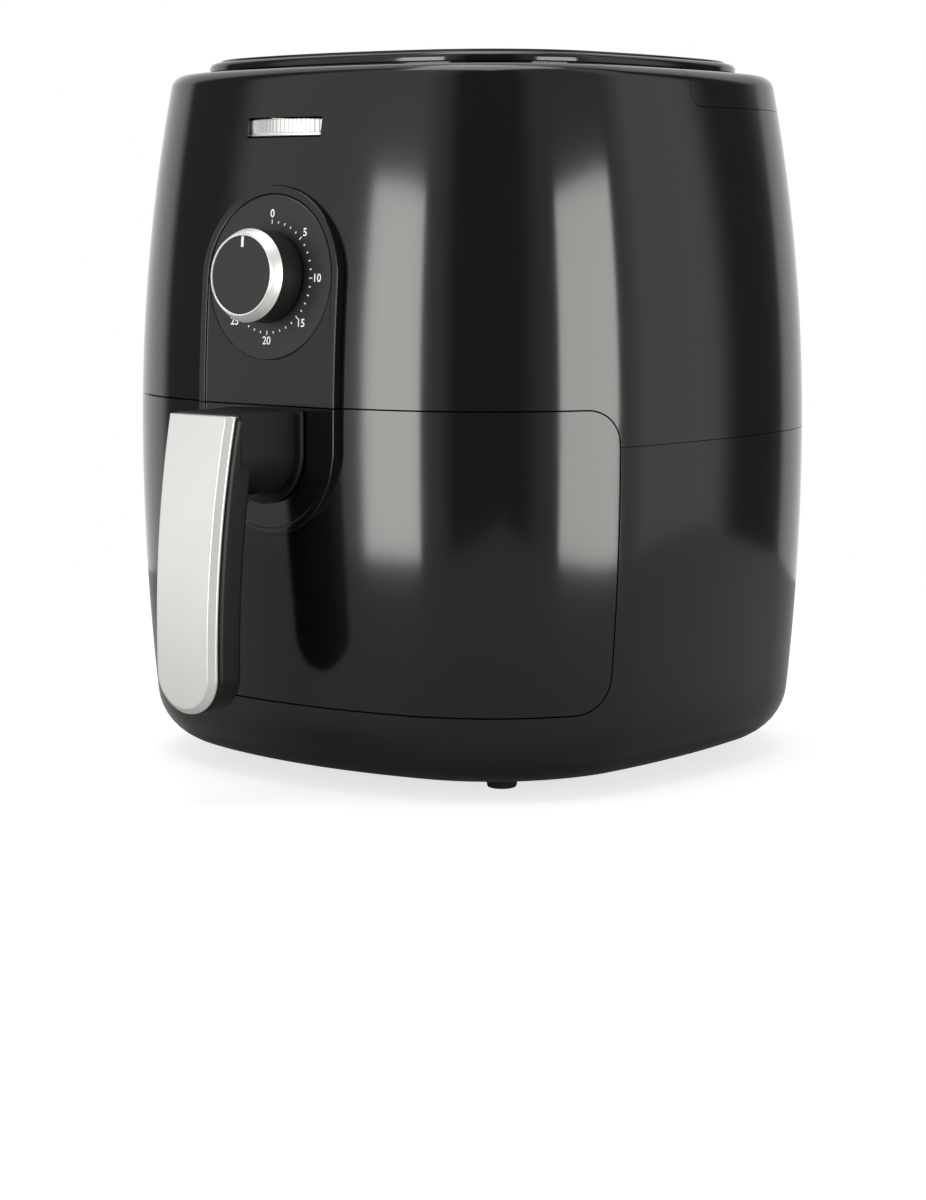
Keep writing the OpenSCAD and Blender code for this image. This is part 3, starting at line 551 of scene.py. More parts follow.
# Name: colour, share of it, roughness, grain in mm, bump in mm, what else differs.
FINISHES = {
    # ABS moulded in a polished tool, mirror-like with a faint orange peel; the flat lid is glossier still
    "PolishedAbs": ("gloss_black", 1, 0.115, 9.0, 0.004, {"spread": 0.015, "mottle": 0.04, "IOR": 1.5}),
    "LidAbs": ("gloss_black", 1, 0.09, 14.0, 0.003, {"spread": 0.015, "mottle": 0.04, "IOR": 1.5}),
    # ABS from a finely etched tool, and with a coarser spark-eroded grain, drawn at 1.2 mm so that it shows
    "SatinAbs": ("satin_black", 1, 0.42, 0.9, 0.01, {"IOR": 1.5}),
    "GrainedAbs": ("matt_black", 1, 0.55, 1.2, 0.03, {"IOR": 1.5, "Specular_IOR_Level": 0.25}),
    # The satin back of the grip, with a faint warm cast
    "GripAbs": ("grip_black", 1, 0.42, 1.0, 0.01, {"IOR": 1.5, "Specular_IOR_Level": 0.28}),
    # Satin chrome plating on ABS, with a fine blasted grain
    "SatinPlate": ("silver", 1, 0.42, 0.7, 0.006, {"spread": 0.03, "mottle": 0.03, "metallic": 0.6}),
    # Sprayed PTFE, half matt and pebbled
    "NonstickCoating": ("coating", 1, 0.38, 1.5, 0.02, {"IOR": 1.45}),
    # Hot-dip zinc, whose broad spangle is drawn as tone and gloss drift
    "GalvanisedSteel": ("steel", 1, 0.42, 6.0, 0.01, {"spread": 0.1, "mottle": 0.18, "metallic": 1.0}),
    "BareSteel": ("steel", 1, 0.28, 1.5, 0.005, {"spread": 0.06, "metallic": 1.0}),
    "OxidisedSheath": ("steel", 0.25, 0.5, 0.8, 0.01, {"metallic": 1.0}),
    "MotorLaminations": ("steel", 0.5, 0.5, 0.5, 0.03, {"metallic": 1.0}),
    "BareCopper": ("copper", 1, 0.3, 0.6, 0.02, {"spread": 0.05, "metallic": 1.0}),
    "PlainBrass": ("brass", 1, 0.3, 1.0, 0.005, {"metallic": 1.0}),
    # Phenolic resin, mottled by its filler
    "PhenolicResin": ("phenolic", 1, 0.45, 2.0, 0.01, {"mottle": 0.2}),
    "BlackNylon": ("satin_black", 1, 0.5, 1.5, 0.01, {}),
    "GlazedCeramic": ("ceramic", 1, 0.2, 3.0, 0.01, {}),
    "MouldedRubber": ("rubber", 1, 0.75, 0.8, 0.03, {}),
    "RedPlastic": ("signal_red", 1, 0.35, 1.5, 0.01, {}),
    "DialInk": ("ink", 1, 0.55, 0.4, 0.004, {"mottle": 0.04}),
}


def finished(name):
    """The material of a name in FINISHES."""
    colour, share, roughness, grain_mm, bump_mm, rest = FINISHES[name]
    return surface(name, [c * share for c in paint(colour)], roughness, grain_mm, bump_mm, **rest)


# ---- housing ------------------------------------------------------------------------------------


def shell_profile(upper, lip, inset=0.0):
    """Closed (out, z) section of the upper or lower shell, with its edge turned in by lip."""
    h = housing()
    if upper:
        crown, edge, rise, low = h.upper_crown, h.shoulder_r, h.body_top - h.seam, h.seam_gap
    else:
        crown, edge, rise, low = h.lower_crown, h.bottom_r, h.seam - h.underside, 0.0
    outer = wall_line(crown, edge, rise, inset, low)
    inner = wall_line(crown, edge, rise, inset + h.wall, low)
    line = [*outer, (-lip, rise - inset), (-lip, rise - inset - h.wall), *inner[::-1]]
    sign = 1 if upper else -1
    return [(out, h.seam + sign * up) for out, up in line]


def drawer_block(gap):
    """The block that the drawer front fills, smaller all round by gap."""
    d, far_x = drawer(), housing().body_w
    low, high, edge, r = d.low + gap, d.high - gap, d.edge_y - gap, d.edge_r - gap
    line = [
        (-FAR, low),
        *arc_points((edge - r, low + r), r, -90, 0, 12),
        *arc_points((edge - r, high - r), r, 0, 90, 12),
        (-FAR, high),
    ]
    return prism("DrawerBlock", side_at(-far_x, line), (2 * far_x, 0, 0))


def skirt_block(gap):
    """The space behind and above the skirt's edge."""
    h, far_x = housing(), housing().body_w
    y, z, r = h.skirt_y + gap, h.skirt_low + gap, h.skirt_r
    line = [(y, FAR), *arc_points((y + r, z + r), r, 180, 270, 8), (FAR, z), (FAR, FAR)]
    return prism("SkirtBlock", side_at(-far_x, line), (2 * far_x, 0, 0))


def strip_line(grow, spacing=0.0025):
    """The raised strip's outline, (x, z): round at the dial and below the handle's root."""
    c = controls()
    r = c.strip_r + grow
    steps = round(math.pi * r / spacing)
    return arc_points((0, c.dial_z), r, 0, 180, steps) + arc_points((0, c.strip_low), r, 180, 360, steps)


def pierce(piece, outline, y0, y1):
    """Cuts an (x, z) outline through a piece from y0 to y1."""
    return combine(piece, prism("Cutter", facing_at(y0, outline), (0, y1 - y0, 0)))


def rounded_line(w, h, r, z):
    """A rounded rectangle, (x, z), round height z."""
    corners = ((1, -1, -90), (1, 1, 0), (-1, 1, 90), (-1, -1, 180))
    return [
        p
        for sx, sz, turn in corners
        for p in arc_points((sx * (w / 2 - r), z + sz * (h / 2 - r)), r, turn, turn + 90, 6)
    ]


class FRYER_OT_shells(bpy.types.Operator):
    """Upper and lower shells, swept round the plan and cut for the drawer, controls and vent"""

    bl_idname = "fryer.shells"
    bl_label = "Shells"

    def execute(self, context):
        h, c = housing(), controls()
        arcs = plan_arcs()
        upper = sweep("UpperShell", shell_profile(True, h.shoulder_lip), arcs, WALL_STEP, close=True)
        combine(upper, drawer_block(0))
        combine(upper, skirt_block(0))
        pierce(upper, strip_line(0.0002), -FAR, 0)
        low, high = c.wheel_z - c.slot_h / 2, c.wheel_z + c.slot_h / 2
        combine(upper, block("Slot", (-c.slot_w, -FAR, low), (c.slot_w, 0, high)))
        pierce(upper, rounded_line(h.vent_w, h.vent_h, VENT_CORNER_R, h.vent_z), 0, FAR)
        soften(upper)
        place(upper, "housing", "gloss_black_abs", "PolishedAbs", "upper_housing")
        lower = sweep("LowerShell", shell_profile(False, h.base_lip), arcs, WALL_STEP, close=True)
        combine(lower, drawer_block(0))
        combine(lower, drum("GlandHole", point(0, h.body_d / 2, h.gland_z), GLAND_R, 0.04))
        soften(lower)
        place(lower, "housing", "gloss_black_abs", "PolishedAbs", "lower_housing")
        return {"FINISHED"}


class FRYER_OT_top(bpy.types.Operator):
    """Top cover with its skirt round the rear, and the overhanging lid"""

    bl_idname = "fryer.top"
    bl_label = "Top cover and lid"

    def execute(self, context):
        h = housing()
        profile = shell_profile(True, h.shoulder_lip + 0.006)
        cover = sweep("TopCover", profile, plan_arcs(), WALL_STEP, close=True)
        combine(cover, skirt_block(h.seam_gap), "INTERSECT")
        deck_z = h.body_top - h.wall
        line = plan_outline(h.shoulder_lip + h.seam_gap)
        combine(cover, prism("Deck", level_at(deck_z, line), (0, 0, h.wall)), "UNION")
        soften(cover)
        place(cover, "housing", "gloss_black_abs", "PolishedAbs", "top_cover")

        rim_z = h.body_top + h.lid_gap
        plinth_line = plan_outline(h.lid_inset + PLINTH_INSET)
        plinth = prism("Plinth", level_at(h.body_top, plinth_line), (0, 0, h.lid_gap + 0.001))
        lid = draw("LidPanel", level_at(rim_z, plan_outline(h.lid_inset, 0.0025)))
        rim_r, field_inset = 0.0024, 0.005
        extrude(0, 0, h.lid_t - rim_r)
        for (out, up), (next_out, next_up) in pairwise(arc_points((0, 0), rim_r, 0, 90, 5)):
            bpy.ops.mesh.inset(thickness=out - next_out, depth=next_up - up)
        bpy.ops.mesh.inset(thickness=field_inset - rim_r)
        extrude(0, 0, h.lid_rise)
        tidy(lid)
        soften(lid, 0.0006, segments=3)
        join(lid, plinth)
        place(lid, "housing", "lid_gloss_black", "LidAbs", "lid_panel")
        return {"FINISHED"}


# ---- controls -----------------------------------------------------------------------------------


def level_cuts(piece, low, high, step):
    """Cuts the whole mesh at even heights, so that it can follow a curved wall."""
    edit(piece)
    for i in range(1, round((high - low) / step)):
        select_all()
        bpy.ops.mesh.bisect(plane_co=(0, 0, low + i * step), plane_no=(0, 0, 1))
    leave_edit()


def set_back(piece, depth):
    """Moves every point back along Y by depth(z)."""
    for v in piece.data.vertices:
        v.co.y += depth(v.co.z)
    return piece


def strip_panel(name, low, high):
    """The raised strip with its bead, between two heights, following the wall's lean."""
    h, c = housing(), controls()
    front, thick = -h.body_d / 2 - c.strip_rise, 0.006
    piece = draw(name, facing_at(front + thick, strip_line(0)))
    extrude(0, -thick, 0)
    bpy.ops.mesh.inset(thickness=c.bead_w)
    bpy.ops.mesh.inset(thickness=0.0003, depth=c.bead_drop)
    tidy(piece)
    soften(piece, 0.0009, segments=3, angle=50)
    level_cuts(piece, c.strip_low - c.strip_r, c.dial_z + c.strip_r, 0.005)
    set_back(piece, lean)
    combine(piece, block("Keep", (-0.1, -FAR, low), (0.1, 0, high)), "INTERSECT")
    return piece


def dial_frame():
    """The dial's centre on its plate's back, and its outward and upward directions."""
    joint = next(j for j in frame["joints"] if j["name"] == "timer_turn")
    outward = -Vector(joint["axis"]).normalized()
    upward = Vector((1, 0, 0)).cross(outward) * -1
    return Vector(joint["pos_m"]), outward, upward


def on_dial(name, profile, steps=96):
    """Turns an (r, out) profile about the dial's axis."""
    centre, outward, _ = dial_frame()
    return turned(name, profile, centre, steps, axis=outward)


class FRYER_OT_fascia(bpy.types.Operator):
    """Raised fascia strip with the dial's recess, and the dial plate in it"""

    bl_idname = "fryer.fascia"
    bl_label = "Fascia and dial plate"

    def execute(self, context):
        c, d = controls(), drawer()
        strip = strip_panel("Fascia", d.high, FAR)
        recess_r = c.dial_r + DIAL_CLEARANCE
        recess = on_dial("Recess", [(0, -0.0004), (recess_r, -0.0004), (recess_r, 0.02), (0, 0.02)])
        combine(strip, recess)
        bore = on_dial("Bore", [(0, -0.02), (0.0045, -0.02), (0.0045, 0.01), (0, 0.01)], 32)
        combine(strip, bore)
        soften(strip, 0.00025, angle=60)
        place(strip, "housing", "gloss_black_abs", "PolishedAbs", "control_fascia")
        hole_r, rim = 0.004, [(c.dial_r, 0), (c.dial_r, PLATE_T - EDGE_R), (c.dial_r - EDGE_R, PLATE_T)]
        plate = on_dial("DialPlate", [(hole_r, 0), *rim, (hole_r, PLATE_T)], 160)
        place(plate, "housing", "satin_black_abs", "SatinAbs", "dial_plate")
        return {"FINISHED"}


class FRYER_OT_print(bpy.types.Operator):
    """Minute marks and numerals printed on the dial plate"""

    bl_idname = "fryer.print"
    bl_label = "Dial printing"

    def execute(self, context):
        centre, outward, upward = dial_frame()
        face, across = centre + outward * PLATE_T, upward.cross(outward)
        height, marks_r, numerals_r, long_tall = 0.00006, 0.0236, 0.0281, 0.0019
        minutes, per_minute = 30, math.radians(9)
        marks = []
        for minute in range(minutes + 1):
            a = minute * per_minute
            ray = upward * math.cos(a) + across * math.sin(a)
            side = ray.cross(outward)
            long_mark = minute % 5 == 0
            tall, wide = (long_tall, 0.0005) if long_mark else (0.001, 0.0006)
            foot = face + ray * (marks_r + (long_tall - tall) / 2) - side * wide / 2
            corners = [foot, foot + side * wide, foot + side * wide + ray * tall, foot + ray * tall]
            marks.append(prism("Mark", corners, outward * height))
            if long_mark:
                deselect()
                bpy.ops.object.text_add()
                text = context.object
                text.data.body = str(minute)
                text.data.align_x, text.data.align_y = "CENTER", "CENTER"
                text.data.size, text.data.extrude = 0.005, height / 2
                text.data.offset = 0.00007
                basis = Matrix((across, upward, outward)).transposed().to_4x4()
                middle = face + ray * numerals_r + outward * height / 2
                text.matrix_world = Matrix.Translation(middle) @ basis
                bpy.ops.object.convert(target="MESH")
                bpy.ops.object.transform_apply(location=True, rotation=True, scale=True)
                marks.append(context.object)
        marks[0].name = marks[0].data.name = "DialPrint"
        place(join(*marks), "housing", "satin_black_abs", "DialInk")
        return {"FINISHED"}


class FRYER_OT_knob(bpy.types.Operator):
    """Timer knob: black skirt, plated bevel ring, flat cap and its pointer"""

    bl_idname = "fryer.knob"
    bl_label = "Timer knob"

    def execute(self, context):
        c = controls()
        r, d, foot, ring_w, bore = c.knob_r, c.knob_d, 0.0015, 0.0031, 0.00302
        collar = d - 0.004
        skirt = on_dial(
            "KnobSkirt",
            [(bore, foot), (r - 0.0006, foot), (r - 0.0001, foot + 0.0005), (r, foot + 0.003),
             (r, collar - 0.0006), (r - 0.0004, collar), (bore, collar)],
            192,
        )
        place(skirt, "timer_knob", "satin_black_abs", "GrainedAbs", "timer_knob")
        inner, lip = r - ring_w, d + 0.001
        ring = on_dial(
            "KnobRing",
            [(inner, collar), (r + 0.0001, collar), (r + 0.0003, collar + 0.0002),
             *[(r + 0.0003 - 0.0026 * t, collar + 0.0002 + 0.0044 * t + 0.0004 * math.sin(math.pi * t))
               for t in (0.15, 0.3, 0.45, 0.6, 0.75, 0.9)],
             (r - 0.0023, lip), (inner + 0.0002, lip), (inner, lip - 0.0002)],
            192,
        )
        place(ring, "timer_knob", "satin_silver_plate", "SatinPlate", "knob_ring")
        cap_r, top = inner - 0.00004, d + 0.0006
        edge_line = [(cap_r, collar), (cap_r, top - EDGE_R), (cap_r - EDGE_R, top)]
        cap = on_dial("KnobCap", [(0, collar), *edge_line, (0, top)], 192)
        place(cap, "timer_knob", "satin_black_abs", "SatinAbs", "knob_cap")
        centre, outward, upward = dial_frame()
        across = upward.cross(outward)
        foot_point = centre + outward * (top - 0.0002) + upward * (r - 0.0082)
        half, tall = across * 0.0007, upward * 0.0048
        corners = [foot_point - half, foot_point + half, foot_point + half + tall, foot_point - half + tall]
        pointer = prism("KnobPointer", corners, outward * 0.00045)
        soften(pointer, 0.0001)
        place(pointer, "timer_knob", "satin_black_abs", "DialInk")
        return {"FINISHED"}


class FRYER_OT_wheel(bpy.types.Operator):
    """Plated thumbwheel with fine upright ribs over a plain flange"""

    bl_idname = "fryer.wheel"
    bl_label = "Thumbwheel"

    def execute(self, context):
        c = controls()
        joint = next(j for j in frame["joints"] if j["name"] == "temperature_turn")
        x, y, _ = joint["pos_m"]
        r, low, high = c.wheel_r, c.wheel_z - c.wheel_t / 2, c.wheel_z + c.wheel_t / 2
        flange, edge, groove, hub_r, ribs = 0.0012, 0.0004, 0.0009, 0.003, 128
        outer = r + 0.0006
        rim = [(r + 0.0004, low), (outer, low + 0.0003), (outer, low + flange - 0.0003)]
        crest = [(r, low + flange + 0.0003), (r, high - edge)]
        wheel = turned(
            "Thumbwheel",
            [(hub_r, low), *rim, (r + 0.0003, low + flange), *crest, (r - edge, high), (hub_r, high)],
            Vector((x, y, 0)), steps=4 * ribs,
        )
        edit(wheel)
        step = FULL_TURN / (4 * ribs)

        def in_groove(v):
            out = math.hypot(v.co.x - x, v.co.y - y)
            turn = round(math.atan2(v.co.y - y, v.co.x - x) / step) % 4
            return turn in (0, 1) and abs(out - r) < edge * 1.2 and v.co.z > low + flange + 0.0001

        pick(wheel, "VERT", in_groove)
        shrink = 1 - groove / r
        bpy.ops.transform.resize(value=(shrink, shrink, 1), center_override=(x, y, 0))
        leave_edit()
        place(wheel, "temperature_wheel", "satin_silver_plate", "SatinPlate", "temperature_wheel")
        return {"FINISHED"}


# ---- drawer -------------------------------------------------------------------------------------


class FRYER_OT_drawer_front(bpy.types.Operator):
    """Drawer front: the housing's wall carried across the bay, with the lower end of the raised strip"""

    bl_idname = "fryer.drawer_front"
    bl_label = "Drawer front"

    def execute(self, context):
        h, d, c = housing(), drawer(), controls()

        def face(inset):
            below = wall_line(h.lower_crown, h.bottom_r, h.seam - h.underside, inset, steps=40)[:-10]
            above = wall_line(h.upper_crown, h.shoulder_r, h.body_top - h.seam, inset, steps=36)[:-10]
            line = [(out, h.seam - up) for out, up in below[::-1]]
            line += [(out, h.seam + up) for out, up in above[1:]]
            return [(out, z) for out, z in line if d.low - 0.006 < z < d.high + 0.008]

        arcs = plan_arcs()
        front = sweep("DrawerFront", face(0) + face(h.wall)[::-1], arcs[5:8], WALL_STEP, close=False)
        combine(front, drawer_block(d.gap), "INTERSECT")
        strip = strip_panel("StripEnd", c.strip_low - c.strip_r - 0.01, d.high - d.gap)
        combine(front, strip, "UNION")
        soften(front)
        place(front, "drawer", "gloss_black_abs", "PolishedAbs", "drawer_front")
        return {"FINISHED"}


def bowed(z):
    """How far the grip's face lies back from its outermost point at height z."""
    d = drawer()
    return d.bow - math.sqrt(d.bow**2 - (z - d.mid_z) ** 2)


def grip_line(inset):
    """The grip's outline, (x, z): straight sides that spread a little, round at the bottom."""
    d = drawer()
    end_z, top = d.grip_low + d.end_w, d.neck_top - inset
    end = arc_points((0, end_z), d.end_w - inset, 180, 360, 32)
    return [(d.top_w - inset, top), (-d.top_w + inset, top), *end]


def grip_layer(name, front, back, inset):
    """Part of the grip between two depths behind its bowed face, flat until it is bowed."""
    d = drawer()
    piece = draw(name, facing_at(-d.reach + back, grip_line(inset)))
    extrude(0, front - back, 0)
    return piece


def bow_grip(piece):
    d = drawer()
    level_cuts(piece, d.grip_low, d.neck_top, 0.004)
    return set_back(piece, bowed)


class FRYER_OT_handle(bpy.types.Operator):
    """Handle: dark bowed grip on a neck that blends into the drawer, with a plated insert on its face"""

    bl_idname = "fryer.handle"
    bl_label = "Handle"

    def execute(self, context):
        h, d, c = housing(), drawer(), controls()
        insert = grip_layer("HandleInsert", 0, d.insert_t, 0.0005)
        tidy(insert)
        edit(insert)
        vertices = insert.data.vertices

        face_y = point(0, -d.reach, 0).y

        def round_the_face(e):
            ends = [vertices[i].co for i in e.vertices]
            on_face = all(end.y < face_y + WELD for end in ends)
            return on_face and min(end.z for end in ends) < d.neck_top - 0.001

        pick(insert, "EDGE", round_the_face)
        bpy.ops.mesh.bevel(offset=INSERT_CHAMFER, segments=1)
        leave_edit()
        soften(insert, 0.0003, segments=2, angle=30)
        bow_grip(insert)
        place(insert, "drawer", "satin_silver_plate", "SatinPlate", "handle_insert")

        grip = tidy(grip_layer("HandleGrip", d.insert_t + 0.0001, d.grip_d, 0))
        soften(grip, 0.003, segments=5, angle=60)
        bow_grip(grip)
        back, centre_z = -d.reach + d.grip_d, d.neck_top - NECK_DROP
        root = -h.body_d / 2 + lean(centre_z) - c.strip_rise

        def neck_line(w):
            return [(w, d.neck_top), (-w, d.neck_top), *arc_points((0, centre_z), w, 180, 360, 32)]

        neck = draw("Neck", facing_at(back - 0.002, neck_line(d.neck_w)))
        extrude(0, root - back + 0.002, 0)
        tidy(neck)
        flange = draw("RootFlange", facing_at(root - 0.0022, neck_line(d.root_w)))
        extrude(0, 0.0021, 0)
        tidy(flange)
        soften(flange, 0.0008, segments=3, angle=60)
        fillet, web_z, half = 0.016, centre_z - d.neck_w + 0.003, d.end_w - 0.002
        curve = arc_points((back + fillet, web_z - fillet), fillet, 90, 180, 12)
        line = [(back - 0.001, web_z), *curve, (back - 0.001, web_z - fillet)]
        web = prism("Web", side_at(-half, line), (2 * half, 0, 0))
        combine(neck, web, "UNION")
        combine(neck, flange, "UNION")
        combine(grip, neck, "UNION")
        soften(grip, 0.0006, angle=50)
        place(grip, "drawer", "satin_black_abs", "GripAbs", "handle_body")
        return {"FINISHED"}


def pan_line(r, flat, spacing=0.003):
    """The pan's outline, (x, y): a circle with two flat sides."""
    turn = math.degrees(math.acos(flat / r))
    steps = round(math.radians(180 - 2 * turn) * r / spacing)
    rear = arc_points((0, 0), r, turn, 180 - turn, steps)
    return rear + arc_points((0, 0), r, 180 + turn, 360 - turn, steps)


class FRYER_OT_pan(bpy.types.Operator):
    """Coated pan with a rounded foot and a rolled rim"""

    bl_idname = "fryer.pan"
    bl_label = "Pan"

    def execute(self, context):
        d = drawer()
        pan = draw("Pan", level_at(d.pan_z, pan_line(d.pan_r, d.pan_flat)))
        extrude(0, 0, d.rim_z + d.pan_t - d.pan_z)
        bpy.ops.mesh.inset(thickness=d.pan_t)
        extrude(0, 0, -(d.rim_z - d.pan_z))
        tidy(pan)
        edit(pan)
        vertices = pan.data.vertices

        def round_the_floor(e):
            heights = [vertices[i].co.z for i in e.vertices]
            return any(all(abs(z - level) < WELD for z in heights) for level in (d.pan_z, d.pan_z + d.pan_t))

        pick(pan, "EDGE", round_the_floor)
        bpy.ops.mesh.bevel(offset=FLOOR_R, segments=5)
        leave_edit()
        rim_line = pan_line(d.pan_r + d.rim_w, d.pan_flat + d.rim_w)
        rim = draw("Rim", level_at(d.rim_z + 0.00005, rim_line))
        extrude(0, 0, d.pan_t)
        tidy(rim)
        hole_line = pan_line(d.pan_r - RIM_LAP, d.pan_flat - RIM_LAP)
        hole = prism("RimHole", level_at(d.rim_z - 0.01, hole_line), (0, 0, 0.02))
        combine(rim, hole)
        combine(pan, rim, "UNION")
        soften(pan, angle=50)
        place(pan, "drawer", "nonstick_coating", "NonstickCoating", "pan")
        return {"FINISHED"}


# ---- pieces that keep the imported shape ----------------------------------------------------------


# Node: piece, body, slot, material, edge radius.
SOFTENED = {
    "crisper_plate": ("CrisperPlate", "crisper", "nonstick_coating", "NonstickCoating", 0.0004),
    "crisper_pads": ("CrisperPads", "crisper", "rubber_black", "MouldedRubber", 0.0006),
    "drawer_inner_panel": ("InnerPanel", "drawer", "matt_black_abs", "GrainedAbs", 0.0004),
    "drawer_flange": ("DrawerFlange", "drawer", "matt_black_abs", "SatinAbs", 0.0005),
    "rear_vent_grille": ("VentGrille", "housing", "matt_black_abs", "SatinAbs", 0.0003),
    "cord_gland": ("CordGland", "housing", "matt_black_abs", "GrainedAbs", 0.0005),
    "base_cover": ("BaseCover", "housing", "matt_black_abs", "GrainedAbs", 0.0004),
    "rubber_feet": ("Feet", "housing", "rubber_black", "MouldedRubber", 0.0008),
}


class FRYER_OT_fittings(bpy.types.Operator):
    """Crisper plate and pads, drawer mouldings, vent grille, gland, base and feet, with rounded edges"""

    bl_idname = "fryer.fittings"
    bl_label = "Fittings"

    def execute(self, context):
        for node, (name, body, slot, material, width) in SOFTENED.items():
            piece = copy_of(node, name)
            soften(piece, width, segments=2, angle=50)
            place(piece, body, slot, material, node)
        return {"FINISHED"}


KEPT = {
    "GalvanisedSteel": (
        "cavity_liner", "bay_plate", "bay_frame", "drawer_rails", "timer_bracket", "thermostat_bracket",
        "motor_bracket", "pan_strap", "exhaust_duct", "heater_hood", "hot_fan", "element_clips",
        "timer_bell",
    ),
    "BareSteel": (
        "bay_screws", "handle_screws", "motor_shaft", "timer_spindle", "thermostat_spindle", "element_guard",
        "motor_bearings",
    ),
    "MotorLaminations": ("motor_stator", "motor_rotor"),
    "OxidisedSheath": ("heating_element",),
    "BareCopper": ("thermostat_capillary", "motor_coil"),
    "PlainBrass": ("fan_nut",),
    "PhenolicResin": ("timer_body", "thermostat_body"),
    "BlackNylon": ("cooling_fan", "door_switch"),
    "GlazedCeramic": ("thermal_fuse", "terminal_block"),
    "RedPlastic": ("switch_plunger",),
}


class FRYER_OT_works(bpy.types.Operator):
    """Finishes for the heater, fan, motor, timer, thermostat and the metal of the drawer bay"""

    bl_idname = "fryer.works"
    bl_label = "Inner works"

    def execute(self, context):
        for material, nodes in KEPT.items():
            for node in nodes:
                mesh = frame["nodes"][node].data
                mesh.materials.clear()
                mesh.materials.append(finished(material))
        return {"FINISHED"}


# ---- stage --------------------------------------------------------------------------------------


def softbox(name, location, target, width, height, watts):
    """A soft rectangular lamp turned to face its target."""
    deselect()
    bpy.ops.object.light_add(type="AREA", location=location)
    lamp = bpy.context.object
    lamp.name = name
    lamp.data.shape = "RECTANGLE"
    lamp.data.size, lamp.data.size_y = width, height
    lamp.data.energy = watts
    lamp.data.color = (1.0, 0.975, 0.94)
    lamp.rotation_euler = (Vector(target) - Vector(location)).to_track_quat("-Z", "Y").to_euler()
    return lamp


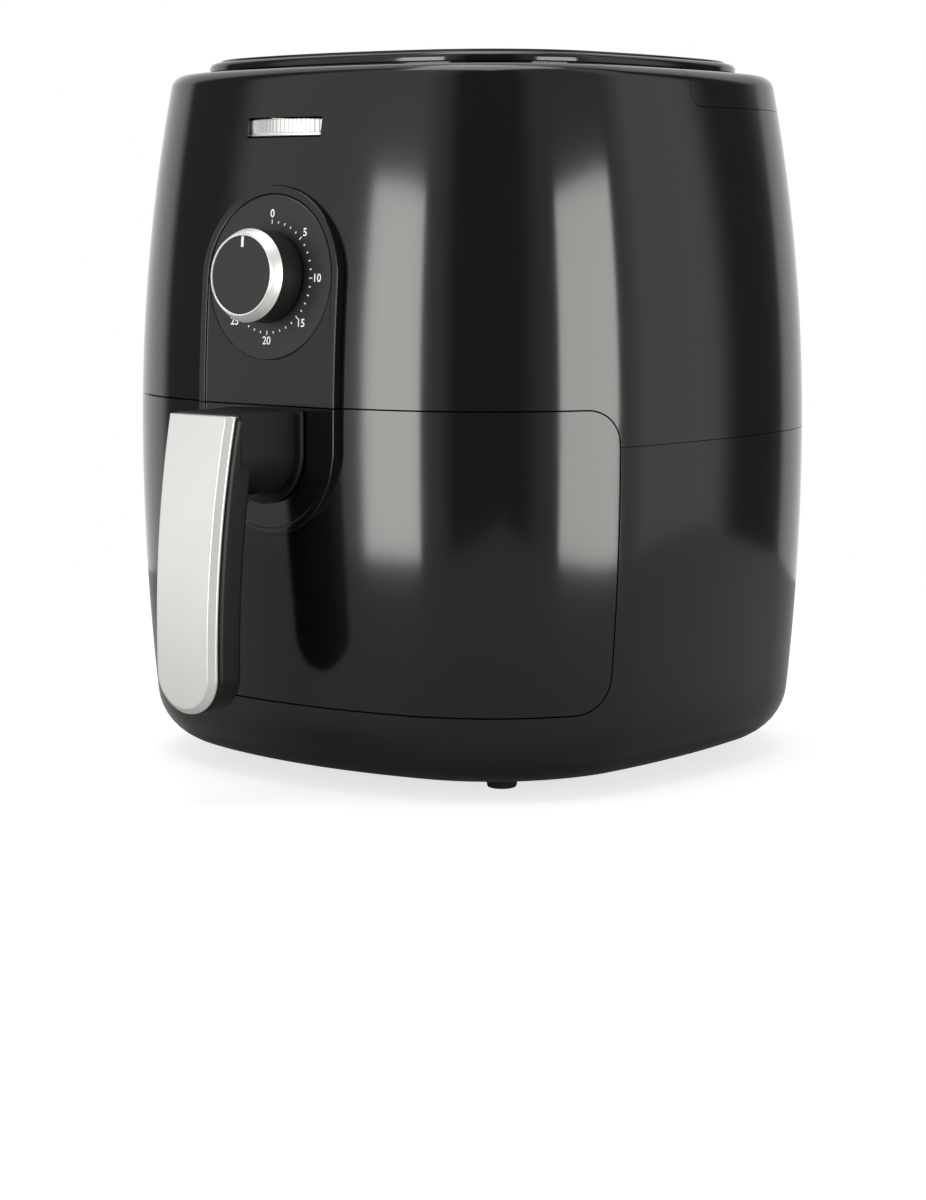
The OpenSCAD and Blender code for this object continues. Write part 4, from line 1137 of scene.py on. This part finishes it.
class FRYER_OT_stage(bpy.types.Operator):
    """Camera, pale floor and soft studio light"""

    bl_idname = "fryer.stage"
    bl_label = "Stage"

    def execute(self, context):
        scene = context.scene
        deselect()
        bpy.ops.object.camera_add(location=(0.8692, -1.0458, 0.2566))
        camera = context.object
        scene.camera = camera
        pitch, heading = math.radians(4.13), math.radians(39.01)
        reach = math.cos(pitch)
        ahead = Vector((-math.sin(heading) * reach, math.cos(heading) * reach, -math.sin(pitch)))
        camera.rotation_euler = ahead.to_track_quat("-Z", "Y").to_euler()
        camera.data.sensor_width = 36
        camera.data.lens = 86.2
        camera.data.shift_x, camera.data.shift_y = -0.00875, -0.15

        bpy.ops.mesh.primitive_plane_add(size=1.3, location=(0, 0, 0))
        floor = named("StudioFloor")
        bpy.ops.object.mode_set(mode="EDIT")
        bpy.ops.mesh.subdivide(number_cuts=4)
        leave_edit()
        paper = surface("FloorPaper", paint("floor"), 0.9, 3.0, 0.0, spread=0.02, mottle=0.01)
        shader = paper.node_tree.nodes["Principled BSDF"]
        shader.inputs["Emission Color"].default_value = (1, 1, 1, 1)
        seen = add(paper.node_tree, "LightPath").outputs["Is Camera Ray"]
        lift = add(paper.node_tree, "MapRange", {"Value": seen, "To Max": 0.72})
        paper.node_tree.links.new(lift.outputs["Result"], shader.inputs["Emission Strength"])
        floor.data.materials.append(paper)

        # Round the compass from -X, a white sweep stands behind the object and the room in front is dark.
        world = bpy.data.worlds.new("Studio")
        world.use_nodes = True
        scene.world = world
        tree = world.node_tree
        back = tree.nodes["Background"]
        back.inputs["Color"].default_value = (1, 1, 1, 1)
        where = add(tree, "TexCoord").outputs["Generated"]
        compass = add(tree, "TexGradient", {"Vector": where}, gradient_type="RADIAL")
        room = add(tree, "ValToRGB", {"Fac": compass.outputs["Fac"]})
        ramp = room.color_ramp
        stops = (
            (0.0, 1.0), (0.014, 1.0), (0.035, 0.12), (0.085, 0.15), (0.105, 0.8), (0.24, 0.9), (0.285, 0.45),
            (0.305, 0.08), (0.4, 0.08), (0.43, 0.4), (0.555, 0.4), (0.6, 0.9), (0.65, 0.75), (0.662, 0.06),
            (0.694, 0.06), (0.705, 0.85), (0.72, 1.0),
        )
        for position, _ in stops[1:-1]:
            ramp.elements.new(position)
        for element, (position, level) in zip(ramp.elements, stops):
            element.position = position
            element.color = (level, level, level, 1)
        rays = add(tree, "LightPath")
        seen = add(
            tree, "MapRange",
            {"Value": rays.outputs["Is Camera Ray"], "To Min": room.outputs["Color"], "To Max": 1.0},
        )
        tree.links.new(seen.outputs["Result"], back.inputs["Strength"])

        softbox("FrontStrip", (-0.26, -2.16, -0.1), (0, 0.03, -0.1), 0.8, 1.8, 37)
        softbox("RightBox", (2.2, 0.0, -0.1), (0, 0.03, -0.1), 1.3, 1.8, 57)
        softbox("TopBox", (0, -0.2, 2.3), (0, 0, 0), 1.6, 1.6, 28)
        scene.view_settings.view_transform = "Standard"
        return {"FINISHED"}


class FRYER_PT_panel(bpy.types.Panel):
    """Lists the steps that build the air fryer"""

    bl_idname = "FRYER_PT_panel"
    bl_label = "Air fryer"
    bl_space_type = "VIEW_3D"
    bl_region_type = "UI"
    bl_category = "Air fryer"

    def draw(self, context):
        for step in STEPS:
            self.layout.operator(step.bl_idname)


GROUPS = {
    "fryer_housing": HousingSizes,
    "fryer_controls": ControlSizes,
    "fryer_drawer": DrawerSizes,
    "fryer_colours": FryerColours,
}
STEPS = (
    FRYER_OT_stage,
    FRYER_OT_shells,
    FRYER_OT_top,
    FRYER_OT_fascia,
    FRYER_OT_print,
    FRYER_OT_knob,
    FRYER_OT_wheel,
    FRYER_OT_drawer_front,
    FRYER_OT_handle,
    FRYER_OT_pan,
    FRYER_OT_fittings,
    FRYER_OT_works,
)


def register():
    for group in GROUPS.values():
        bpy.utils.register_class(group)
    for name, group in GROUPS.items():
        setattr(bpy.types.Scene, name, bpy.props.PointerProperty(type=group))
    for step in (*STEPS, FRYER_PT_panel):
        bpy.utils.register_class(step)


def unregister():
    for step in (FRYER_PT_panel, *reversed(STEPS)):
        bpy.utils.unregister_class(step)
    for name in GROUPS:
        delattr(bpy.types.Scene, name)
    for group in GROUPS.values():
        bpy.utils.unregister_class(group)


def main():
    register()
    for step in STEPS:
        family, name = step.bl_idname.split(".")
        getattr(getattr(bpy.ops, family), name)()
    deselect()


if __name__ == "__main__":
    main()
